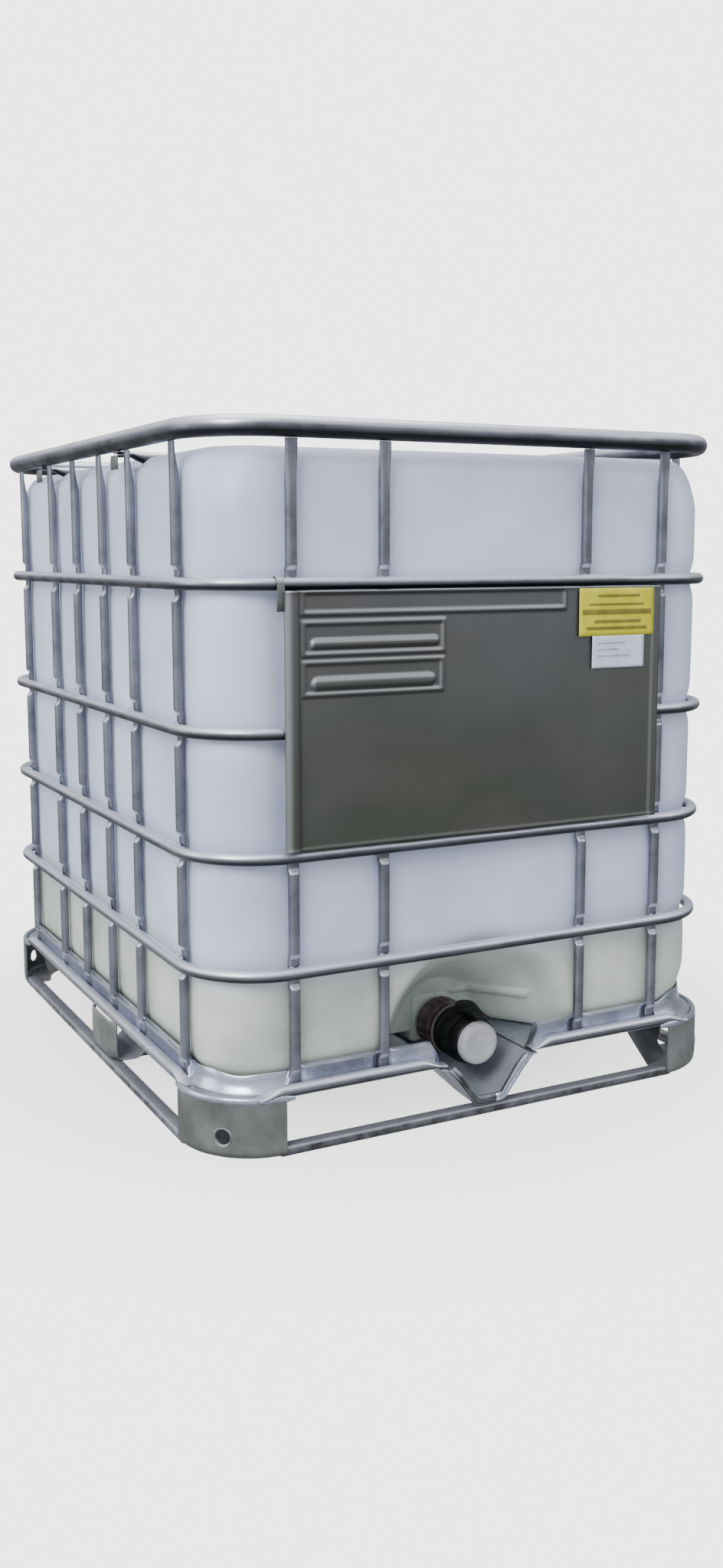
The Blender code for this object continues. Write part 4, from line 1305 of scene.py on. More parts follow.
@dataclass
class Feet:
    """Pressed corner feet with a drain hole, and folded feet in the middle of three sides."""

    finishes: Finishes
    radius: float = 0.130
    thickness: float = 0.003
    tread: float = 0.055
    web_bulge: float = 0.72
    gusset: float = -0.070
    heel: float = 0.013
    hole_radius: float = 0.0135
    hole_height: float = 0.036
    web_start: float = 0.004
    web_inset: float = 0.03
    steps: int = 32

    def build(self) -> None:
        """Build every foot."""
        for word, sx, sy in (("rear_right", 1, 1), ("rear_left", -1, 1), ("front_left", -1, -1),
                             ("front_right", 1, -1)):
            name = f"corner_foot_{word}"
            self.finishes.dress(self.corner_foot(name, sx, sy), Slot.FOOT, [name])
        for name, side in (("side_foot_left", Side.LEFT), ("side_foot_right", Side.RIGHT),
                           ("rear_foot", Side.REAR)):
            self.finishes.dress(self.side_foot(name, side), Slot.FOOT, [name])

    def corner_foot(self, name: str, sx: int, sy: int) -> bpy.types.Object:
        """Curved outer wall, rounded heel, flat tread and a sloped web under the tray.

        Args:
            name: Node that the foot covers.
            sx: -1 for left, 1 for right.
            sy: -1 for front, 1 for rear.

        Returns:
            The new object.
        """
        top = Extent.of(name).high.z
        whole = CAD_BOX[1]
        centre = Vector((sx * (whole.x - self.radius), sy * (whole.y - self.radius), 0))
        rows = []
        web_end = self.radius - self.thickness - self.web_inset
        reach = self.gusset if (sx, sy) == FAR_CORNER else self.web_start
        for step in range(self.steps + 1):
            t = step / self.steps
            a = math.radians(90 * t)
            out = Vector((math.cos(a), math.sin(a), 0))
            web = Vector((web_end, self.web_start, 0)).lerp(Vector((reach, web_end, 0)), t)
            web *= 1 - self.web_bulge * math.sin(math.pi * t) ** 0.7
            web.z = top - self.thickness
            row = [out * self.radius + Vector((0, 0, top))]
            for z in (0.066, 0.050, 0.042, 0.036, 0.030, 0.022):
                row.append(out * self.radius + Vector((0, 0, z)))
            for k in range(6):
                b = math.radians(90 * k / 5)
                row.append(out * (self.radius - self.heel * (1 - math.cos(b))) +
                           Vector((0, 0, self.heel * (1 - math.sin(b)))))
            low = out * (self.radius - self.tread)
            row.append(low + out * 0.004)
            for t2 in (0.03, 0.3, 0.65, 1.0):
                spot = low.lerp(web, t2)
                spot.z = (top - self.thickness) * t2
                row.append(spot)
            rows.append([centre + Vector((sx * p.x, sy * p.y, p.z)) for p in row])
        item = loft(name + "_pressed", rows, closed=False, caps=False)
        self.turn_out(item)
        wall = item.modifiers.new("wall", "SOLIDIFY")
        wall.thickness = self.thickness
        wall.offset = -1.0
        wall.use_even_offset = True
        outward = Vector((sx, sy, 0)).normalized()
        hole = turned("hole", ((0, 0.0), (self.hole_radius, 0.0), (self.hole_radius, 0.04), (0, 0.04)),
                      centre + outward * (self.radius - 0.02) + Vector((0, 0, self.hole_height)), outward, 32)
        cut = item.modifiers.new("hole", "BOOLEAN")
        cut.operation = "DIFFERENCE"
        cut.solver = "EXACT"
        cut.object = hole
        bake(item)
        bpy.data.objects.remove(hole, do_unlink=True)
        turned_edge = ((-0.0002, -0.0035), (0.0022, -0.0006), (0.0012, 0.0004), (-0.0010, -0.0004),
                       (-0.0014, -0.0035))
        lip = [(self.hole_radius + wide, height) for wide, height in turned_edge]
        middle = centre + outward * self.radius + Vector((0, 0, self.hole_height))
        rim = turned("hole_lip", lip, middle, outward, 32)
        made = merged(name + "_pressing", [item, rim])
        made.data.set_sharp_from_angle(angle=math.radians(30))
        return made

    @staticmethod
    def turn_out(item: bpy.types.Object) -> None:
        """Point the open surface's faces away from the container's middle.

        Args:
            item: Object to change.
        """
        mesh = item.data
        face = max(mesh.polygons, key=lambda f: abs(f.center.x) + abs(f.center.y))
        if face.normal.dot(Vector((face.center.x, face.center.y, 0))) < 0:
            mesh.flip_normals()

    def side_foot(self, name: str, side: Side) -> bpy.types.Object:
        """Folded foot that stands on a runner, with a swollen head over the base tube.

        Args:
            name: Node that the foot covers.
            side: Side of the cage.

        Returns:
            The new object.
        """
        e = Extent.of(name)
        axis = 0 if side in (Side.LEFT, Side.RIGHT) else 1
        face = max(abs(e.low[axis]), abs(e.high[axis]))
        middle = e.middle[1 - axis] * (1 if side is Side.RIGHT else -1)
        half = e.size[1 - axis] / 2
        depth = e.size[axis]
        top, low = e.high.z, e.low.z
        turn = Matrix.Rotation(math.radians(side.value), 3, "Z")
        rows = []
        for k in range(25):
            s = -half + 2 * half * k / 24
            edge = smooth(half - abs(s), 0.0, 0.018)
            back = face - 0.003 - 0.010 * (1 - edge)
            row = [Vector((s, -back, top)), Vector((s, -back, top - 0.02)), Vector((s, -back, low + 0.02)),
                   Vector((s, -back + 0.001, low + 0.007)), Vector((s, -back + 0.005, low + 0.0018)),
                   Vector((s, -back + 0.012, low)), Vector((s, -face + self.tread - 0.004, low)),
                   Vector((s, -face + self.tread + 0.004, low + 0.003)),
                   Vector((s, -face + depth - 0.004, top - 0.0035))]
            rows.append([turn @ Vector((p.x + middle, p.y, p.z)) for p in row])
        return sheet(name + "_folded", rows, self.thickness, offset=-1.0, bevel=0.0008)


@dataclass
class Runners:
    """Flat bars on the floor between the feet."""

    finishes: Finishes
    edge: float = 0.0045
    width: float = 0.024
    overrun: float = 0.012

    def build(self) -> None:
        """Build the five runners, their ends running into the feet."""
        for word in ("front", "rear", "left", "right", "middle"):
            name = f"runner_{word}"
            e = Extent.of(name)
            low, high = e.low.copy(), e.high.copy()
            if word != "middle":
                axis = 0 if e.size.x > e.size.y else 1
                low[axis] -= self.overrun
                high[axis] += self.overrun
                across = 1 - axis
                if e.middle[across] < 0:
                    high[across] = low[across] + self.width
                else:
                    low[across] = high[across] - self.width
            item = rounded_block(f"{name}_bar", low, high, self.edge)
            self.finishes.dress(item, Slot.FOOT, [name], own="runner")


@dataclass
class Chute:
    """Folded trough under the valve with a turned front edge."""

    finishes: Finishes
    half_top: float = 0.082
    half_low: float = 0.026
    band: float = 0.013
    thickness: float = 0.002
    band_thickness: float = 0.0012
    flange: float = 0.011
    bend: float = 0.010
    steps: int = 24

    def build(self) -> None:
        """Build the trough and its turned edges."""
        e = Extent.of("valve_chute")
        front, back, top, low = e.low.y, e.high.y, e.high.z, e.low.z
        rows = []
        wide, r = self.half_top, self.bend
        for i in range(self.steps + 1):
            t = i / self.steps
            y = front + (back - front) * t
            floor = low + 0.003 + (0.032 * smooth(t, 0.0, 0.82) + (top - low - 0.040) * smooth(t, 0.70, 1.0))
            half = self.half_low * (1 + 0.35 * t) + (wide * 0.72 - self.half_low) * smooth(t, 0.72, 1.0)
            slope = Vector((wide - half, 0, top - floor)).normalized()
            row = [Vector((wide + self.flange, y, top - 0.001)), Vector((wide + 0.003, y, top - 0.001)),
                   Vector((wide, y, top - 0.003)), Vector((wide - slope.x * 0.03, y, top - slope.z * 0.03)),
                   Vector((half + slope.x * r, y, floor + slope.z * r)),
                   Vector((half + slope.x * r * 0.3, y, floor + slope.z * r * 0.22)),
                   Vector((half - r * 0.5, y, floor)), Vector((half * 0.4, y, floor - 0.0006))]
            rows.append(row + [Vector((-p.x, p.y, p.z)) for p in reversed(row)])
        trough = sheet("chute_trough", rows, self.thickness, bevel=0.0005)
        edge_rows = []
        path = [rows[0][i] for i in range(2, len(rows[0]) - 2)]
        middle = Vector((0, front, top + 0.03))
        pressing = ((0.0005, 0.006), (0.0, 0.0005), (0.002, -0.0012), (0.0048, -0.0012), (0.0060, 0.0022),
                    (0.0072, -0.0012), (self.band - 0.003, -0.0012), (self.band, 0.0008), (self.band, 0.006))
        for spot in path:
            inward = (middle - spot).normalized()
            if abs(spot.x) < self.half_low:
                inward = Vector((0, 0, 1))
            edge_rows.append([spot + inward * up + Vector((0, back, 0)) for up, back in pressing])
        self.finishes.dress(trough, Slot.SHEET, ["valve_chute"], own="chute")
        # Painted shade: the left half of the turned front edge takes the dark runner finish, and the right
        # half the plain sheet finish.
        half = len(edge_rows) // 2
        right = sheet("chute_band_right", edge_rows[:half], self.band_thickness)
        left = sheet("chute_band_left", edge_rows[half - 1:], self.band_thickness)
        self.finishes.dress(right, Slot.SHEET)
        self.finishes.dress(left, Slot.SHEET, own="runner")


# ---- bottle -----------------------------------------------------------------------------
@dataclass
class Bottle:
    """Blow-moulded bottle with its valve recess, top pan, grooves, necks and sump."""

    finishes: Finishes
    corner: float = 0.105
    edge: float = 0.055
    top_edge: float = 0.046
    bulge: float = 0.012
    niche_back: float = -0.415
    niche_radius: float = 0.075
    niche_slope: float = 1.423
    pan_radius: float = 0.125
    pan_depth: float = 0.028
    neck_radius: float = 0.075
    outlet_radius: float = 0.032
    groove: float = 0.0190
    groove_half: tuple[float, float] = (0.016, 0.030)
    recess_top: float = 0.34
    recess_half: float = 0.26
    top_rings: int = 64

    def build(self) -> None:
        """Build the bottle's body, sump and outlet."""
        self.tray_top = Extent.of("base_tube_left").low.z
        e = Extent.of("bottle")
        self.half_w, self.half_l = e.high.x, e.high.y
        self.top = e.high.z - 0.002
        self.pan = e.high.z - self.pan_depth
        self.valve_z = Extent.of("union_nut").middle.z
        self.rings = [Extent.of(f"cage_ring_{n}").middle.z for n in range(1, 5)]
        self.bars_y = [Extent.of(n).middle.y for n in ("crossbar_front", "crossbar_rear")]
        body = loft("bottle_body", self.rows(), closed=True, caps=True, sharp=60)
        parts = [body, self.sump(), self.outlet()]
        self.finishes.dress(merged("bottle_blown", parts), Slot.BOTTLE, ["bottle"])

    def outline(self) -> list[tuple[Vector, Vector, float]]:
        """Anchor, outward direction and corner share of each point round the bottle.

        Returns:
            Anchor, direction and corner share, point by point.
        """
        flat_w, flat_l = self.half_w - self.corner, self.half_l - self.corner
        made: list[tuple[Vector, Vector, float]] = []

        def straight(start: Vector, end: Vector, out: Vector, count: int) -> None:
            """Points along one flat side."""
            for i in range(1, count):
                made.append((start.lerp(end, i / count), out, 0.0))

        corners = ((1, 1, 0), (-1, 1, 1), (-1, -1, 2), (1, -1, 3))
        outs = (Vector((0, 1)), Vector((-1, 0)), Vector((0, -1)), Vector((1, 0)))
        counts = (36, 54, 150, 54)
        for index, (sx, sy, quarter) in enumerate(corners):
            anchor = Vector((sx * flat_w, sy * flat_l))
            for step in range(13):
                a = math.radians(90 * (quarter + step / 12))
                made.append((anchor, Vector((math.cos(a), math.sin(a))), math.sin(math.pi * step / 12)))
            after = corners[(index + 1) % 4]
            straight(anchor, Vector((after[0] * flat_w, after[1] * flat_l)), outs[index], counts[index])
        return made

    def swell(self, share: float, spot: Vector, z: float) -> float:
        """How far the wall stands out from its plain shape.

        Args:
            share: 0 on a flat side, 1 in the middle of a corner.
            spot: Anchor of the point in plan.
            z: Height of the point in metres.

        Returns:
            Distance outward in metres.
        """
        held = sum(math.exp(-((z - h) / 0.020) ** 2) for h in self.rings)
        fade = smooth(z, self.tray_top + 0.03, self.tray_top + 0.10)
        fade *= 1 - smooth(z, self.top - 0.09, self.top - 0.02)
        loose = noise.noise(Vector((spot.x * 5, spot.y * 5, z * 4))) * 0.0018
        return fade * (self.bulge * share * (1 - 0.55 * min(1.0, held)) + 0.0012 * (1 - held) + loose)

    def niche(self, x: float, y: float, z: float, inset: float) -> float:
        """Front surface pushed back into the valve recess.

        Args:
            x: X before the recess is pressed in.
            y: Y before the recess is pressed in.
            z: Height of the point in metres.
            inset: Metres added to the radius of the flat back.

        Returns:
            Y after the recess is pressed in.
        """
        r = math.hypot(x, z - self.valve_z)
        deep = self.niche_back - self.niche_slope * max(0.0, r - self.niche_radius - inset)
        made = y + (soft_max(y, deep, 0.045) - y) * (1 - smooth(r, 0.150, 0.205))
        rib = window(z - 0.158, 0.004, 0.011) * smooth(x, 0.020, 0.035) * (1 - smooth(x, 0.122, 0.140))
        return made - 0.0125 * rib

    def cap_height(self, x: float, y: float, z: float) -> float:
        """Top surface lowered in the grooves under the crossbars.

        Args:
            x: X on the top face.
            y: Y on the top face.
            z: Height before the grooves and the crown.

        Returns:
            Height of the point in metres.
        """
        floor = min(self.top - self.groove * window(y - line, *self.groove_half) for line in self.bars_y)
        crown = 0.002 * math.cos(x * 3) * math.cos(y * 2.5) - 0.002
        limit = floor + crown
        return -soft_max(-z, -limit, 0.003)

    def rows(self) -> list[Row]:
        """Rings of points from the bottom face up, over the shoulder and into the neck.

        Returns:
            Points, ring by ring.
        """
        outline = self.outline()
        low = self.tray_top + 0.0005
        levels: list[tuple[float, float]] = []
        for k in range(11):
            a = math.radians(90 * k / 10)
            levels.append((low + self.edge * (1 - math.cos(a)), self.edge * (1 - math.sin(a))))
        z = low + self.edge + 0.004
        while z < self.top - self.top_edge - 0.005:
            levels.append((z, 0.0))
            z += 0.0042 if z < 0.31 else 0.0105
        for k in range(13):
            a = math.radians(90 * k / 12)
            levels.append((self.top - self.top_edge * (1 - math.sin(a)), self.top_edge * (1 - math.cos(a))))
        rows = []
        shoulder = self.top - self.top_edge
        for z, inset in levels:
            row = []
            for anchor, out, share in outline:
                p = anchor + out * (self.corner - inset + self.swell(share, anchor, z))
                y = p.y
                if out.y < -0.9 and z < self.recess_top and abs(p.x) < self.recess_half:
                    y = self.niche(p.x, y, z, inset * 0.7)
                height = self.cap_height(p.x, y, z) if z > shoulder else z
                row.append(Vector((p.x, y, height)))
            rows.append(row)
        rows += self.inner_rows(rows[-1])
        return rows

    def inner_rows(self, rim: Row) -> list[Row]:
        """Rings across the top face, down into the pan and up and over the neck.

        Args:
            rim: Ring that the others start from.

        Returns:
            Points, ring by ring.
        """
        made = []
        pan_edge = self.pan_radius + 0.006
        circle = [Vector((p.x, p.y)).normalized() for p in rim]
        for k in range(1, self.top_rings + 1):
            t = k / self.top_rings
            row = []
            for p, c in zip(rim, circle):
                flat = Vector((p.x, p.y)).lerp(c * pan_edge, t)
                row.append(Vector((flat.x, flat.y, self.cap_height(flat.x, flat.y, self.top))))
            made.append(row)
        pan = self.pan
        neck_top = Extent.of("lid_gasket").low.z - 0.0005
        n = self.neck_radius
        wide = self.pan_radius
        for r, z in ((wide + 0.002, self.top - 0.004), (wide, self.top - 0.009), (wide - 0.002, pan - 0.010),
                     (wide - 0.006, pan - 0.017), (wide - 0.014, pan - 0.019), (n + 0.008, pan - 0.019),
                     (n + 0.002, pan - 0.017),
                     (n, pan - 0.012), (n, neck_top - 0.002), (n - 0.001, neck_top), (n - 0.005, neck_top),
                     (n - 0.006, neck_top - 0.002), (n - 0.006, pan - 0.02), (n - 0.003, pan - 0.05),
                     (0.03, pan - 0.06)):
            made.append([Vector((c.x * r, c.y * r, z)) for c in circle])
        return made

    def sump(self) -> bpy.types.Object:
        """Low well behind the outlet.

        Returns:
            The new object.
        """
        low = Extent.of("bottle").low.z
        return rounded_block("bottle_sump", Vector((-0.050, self.niche_back - 0.0015, low + 0.0004)),
                             Vector((0.050, self.niche_back + 0.105, low + 0.09)), 0.012)

    def outlet(self) -> bpy.types.Object:
        """Short moulded neck that the valve screws to.

        Returns:
            The new object.
        """
        mouth = Extent.of("valve_body").high.y
        length = self.niche_back + 0.012 - mouth
        r = self.outlet_radius
        profile = ((r + 0.006, 0.0), (r + 0.005, 0.012), (r, 0.015), (r, length), (r - 0.003, length),
                   (r - 0.003, 0.0))
        return turned("bottle_outlet", rounded_profile(profile, 0.0012),
                      Vector((0, self.niche_back + 0.012, self.valve_z)), Vector((0, -1, 0)), 48)


# ---- plate and labels -------------------------------------------------------------------
@dataclass
class LabelPlate:
    """Identification plate with embossed frames and two blank labels."""

    finishes: Finishes
    cell: float = 0.0028
    fold: float = 0.026
    raise_line: float = 0.0034
    raise_rib: float = 0.0052

    def build(self) -> None:
        """Build plate, hook and labels."""
        e = Extent.of("label_plate")
        self.edge = e
        wide, tall = round(e.size.x / self.cell), round(e.size.z / self.cell)
        rows = []
        for j in range(tall + 1):
            z = e.low.z + e.size.z * j / tall
            rows.append([Vector((x, e.low.y - self.relief(x, z), z))
                         for x in (e.low.x + e.size.x * i / wide for i in range(wide + 1))])
        item = loft("plate", rows, closed=False, caps=False, sharp=75)
        if sum(f.normal.y * f.area for f in item.data.polygons) > 0:
            item.data.flip_normals()
        wall = item.modifiers.new("wall", "SOLIDIFY")
        wall.thickness = 0.0009
        wall.offset = -1.0
        bake(item)
        item.name = "plate_pressed"
        self.finishes.dress(item, Slot.PLATE, ["label_plate"])
        self.hook()
        self.labels()

    def relief(self, x: float, z: float) -> float:
        """Height of the pressing in front of the flat sheet.

        Args:
            x: X on the plate.
            z: Height on the plate.

        Returns:
            Height in front of the flat sheet in metres.
        """
        e = self.edge
        left, top = e.low.x, e.high.z
        made = 0.0006 + 0.0010 * noise.noise(Vector((x * 7, 0.3, z * 7)))
        edge = min(top - z, z - e.low.z, e.high.x - x)
        made += 0.0010 * (1 - smooth(edge, 0.002, 0.007))
        roll = (x - left) / self.fold
        if roll < 1:
            made += 0.0085 * math.sin(math.pi * min(1, max(0, roll))) ** 0.7
        made += 0.0028 * smooth(x, e.high.x - 0.016, e.high.x - 0.010)
        made += self.frame_line(x - left, top - z, 0.030, 0.500, 0.002, 0.034)
        made += self.frame_line(x - left, top - z, 0.031, 0.271, 0.048, 0.095)
        made += self.rib(x - left, top - z, 0.042, 0.262, 0.0795, 0.0075)
        made += self.frame_line(x - left, top - z, 0.031, 0.269, 0.107, 0.155)
        made += self.rib(x - left, top - z, 0.044, 0.256, 0.1385, 0.0095)
        return made

    def frame_line(self, x: float, z: float, left: float, right: float, high: float, low: float) -> float:
        """Thin raised line round a rectangle, measured from the plate's top left."""
        outside = max(left - x, x - right, high - z, z - low)
        return self.raise_line * window(outside, 0.0008, 0.0048)

    def rib(self, x: float, z: float, left: float, right: float, row: float, half: float) -> float:
        """Long rounded rib, measured from the plate's top left.

        Args:
            x: Distance from the plate's left edge.
            z: Distance below the plate's top.
            left: Where the rib starts.
            right: Where the rib ends.
            row: The rib's middle below the plate's top.
            half: Half of the rib's height.

        Returns:
            Height in front of the flat sheet in metres.
        """
        beyond = max(left + half - x, x - right + half, 0.0)
        far = math.hypot(beyond, z - row) / half
        return self.raise_rib * math.sqrt(max(0.0, 1 - far * far)) if far < 1 else 0.0

    def hook(self) -> None:
        """Small strap over the ring that the plate hangs from."""
        ring = Extent.of("cage_ring_4")
        r = ring.size.z / 2 + 0.0016
        y, z = ring.low.y + ring.size.z / 2, ring.middle.z
        x = self.edge.low.x - 0.004
        path = [Vector((x, y + r * math.cos(math.radians(a)), z + r * math.sin(math.radians(a))))
                for a in range(-20, 186, 14)]
        path += [Vector((x, y - r - 0.0002, z - 0.012)), Vector((x, y - r + 0.0005, z - 0.026)),
                 Vector((x, y - r + 0.002, z - 0.040))]
        rows = [[p + Vector((w, 0, 0)) for p in path] for w in (-0.006, 0.006)]
        self.finishes.dress(sheet("plate_hook", rows, 0.0016, bevel=0.0004), Slot.FOOT)

    def labels(self) -> None:
        """Two stickers with plain printed bars."""
        yellow = ((0.16, 0.24, 0.80, 0.05), (0.34, 0.12, 0.86, 0.035), (0.50, 0.04, 0.96, 0.10),
                  (0.70, 0.20, 0.82, 0.06), (0.84, 0.10, 0.90, 0.06))
        white = ((0.22, 0.10, 0.62, 0.04), (0.42, 0.10, 0.50, 0.03), (0.62, 0.10, 0.72, 0.03))
        brown = ((0.16, 0.13, 0.01), (0.24, 0.20, 0.02))
        grey = ((0.30, 0.34, 0.42), (0.42, 0.46, 0.54))
        for name, slot, tones, bars in (("yellow_label", Slot.YELLOW, brown, yellow),
                                        ("white_label", Slot.WHITE, grey, white)):
            e = Extent.of(name)
            face = e.low.y - 0.0030
            rows = []
            for j in range(13):
                z = e.low.z + e.size.z * j / 12
                rows.append([Vector((x, face - 0.0010 * noise.noise(Vector((x * 9, 2.0, z * 9))), z))
                             for x in (e.low.x + e.size.x * i / 20 for i in range(21))])
            item = sheet(name + "_print", rows, 0.0004)
            self.finishes.dress(item, slot, [name])
            ink: list[bpy.types.Object] = []
            for down, start, end, tall in bars:
                z = e.high.z - e.size.z * down
                half = e.size.z * tall / 2
                low = Vector((e.low.x + e.size.x * start, face - 0.0016, z - half))
                high = Vector((e.low.x + e.size.x * end, face - 0.0009, z + half))
                ink.append(rounded_block("bar", low, high, 0.0002))
            item = merged(name + "_ink", ink)
            self.finishes.dress(item, slot)
            item.data.materials[0] = Moulded(f"{name}_ink_finish", *tones).build()


# ---- filling lid ------------------------------------------------------------------------
@dataclass
class FillingLid:
    """Screw lid with grip ribs, gasket, vent plug and its seal."""

    finishes: Finishes
    ribs: int = 48
    plug_ribs: int = 8

    def build(self) -> None:
        """Build lid, gasket, plug and seal."""
        lid, plug = Extent.of("filling_lid"), Extent.of("vent_plug")
        up = Vector((0, 0, 1))
        r, tall = lid.size.x / 2, lid.size.z
        inner = r - 0.0163
        base = Vector((0, 0, lid.low.z))

        def grip(angle: float, height: float) -> float:
            """Ribs on the skirt."""
            near = window(height - tall * 0.45, tall * 0.36, tall * 0.44)
            return -0.0014 * near * (0.5 + 0.5 * math.cos(self.ribs * angle))

        profile = ((r, tall), (r, 0.0), (inner, 0.0), (inner, tall - 0.010), (0.036, tall - 0.010),
                   (0.036, tall - 0.020), (0.030, tall - 0.020), (0.030, tall), (0.048, tall - 0.0003),
                   (0.052, tall - 0.0028), (r - 0.016, tall - 0.0028), (r - 0.012, tall))
        points = rounded_profile(profile, 0.0016)
        mid = [(r, tall * k) for k in (0.8, 0.65, 0.5, 0.35, 0.2)]
        at = max(i for i, point in enumerate(points[:8]) if point[1] > tall * 0.9) + 1
        points = points[:at] + mid + points[at:]
        item = turned("filling_lid_moulded", points, base, up, 192, grip)
        self.finishes.dress(item, Slot.LID, ["filling_lid"], "filling_lid")
        self.ring("lid_gasket", 0.008, Slot.RUBBER, "lid_gasket")
        self.ring("vent_plug_seal", 0.008, Slot.RUBBER, "vent_plug_seal")
        head = plug.size.x / 2
        high = plug.size.z

        def knob(angle: float, height: float) -> float:
            """Finger hollows round the plug's head."""
            near = smooth(height, high - 0.010, high - 0.007)
            return -0.0022 * near * (0.5 - 0.5 * math.cos(self.plug_ribs * angle))

        shank = 0.0295
        outline = ((0, high), (0.012, high), (0.014, high - 0.003), (head - 0.010, high - 0.003),
                   (head - 0.008, high), (head, high - 0.001), (head, high - 0.009), (shank, high - 0.009),
                   (shank, 0.0), (0, 0.0))
        item = turned("vent_plug_moulded", rounded_profile(outline, 0.0010), Vector((0, 0, plug.low.z)),
                      up, 96, knob)
        self.finishes.dress(item, Slot.CAP, ["vent_plug"], "vent_plug")

    def ring(self, name: str, width: float, slot: Slot, body: str) -> None:
        """Flat sealing ring with rounded edges.

        Args:
            name: Node of the ring.
            width: Width of its section in metres.
            slot: Finish of the ring.
            body: Body of the frame that carries it.
        """
        e = Extent.of(name)
        r, t = e.size.x / 2, e.size.z
        profile = rounded_profile(((r, t), (r, 0), (r - width, 0), (r - width, t)), 0.001)
        axis, base = Vector((0, 0, 1)), Vector((e.middle.x, e.middle.y, e.low.z))
        self.finishes.dress(turned(name + "_ring", profile, base, axis, 96), slot, [name], body)


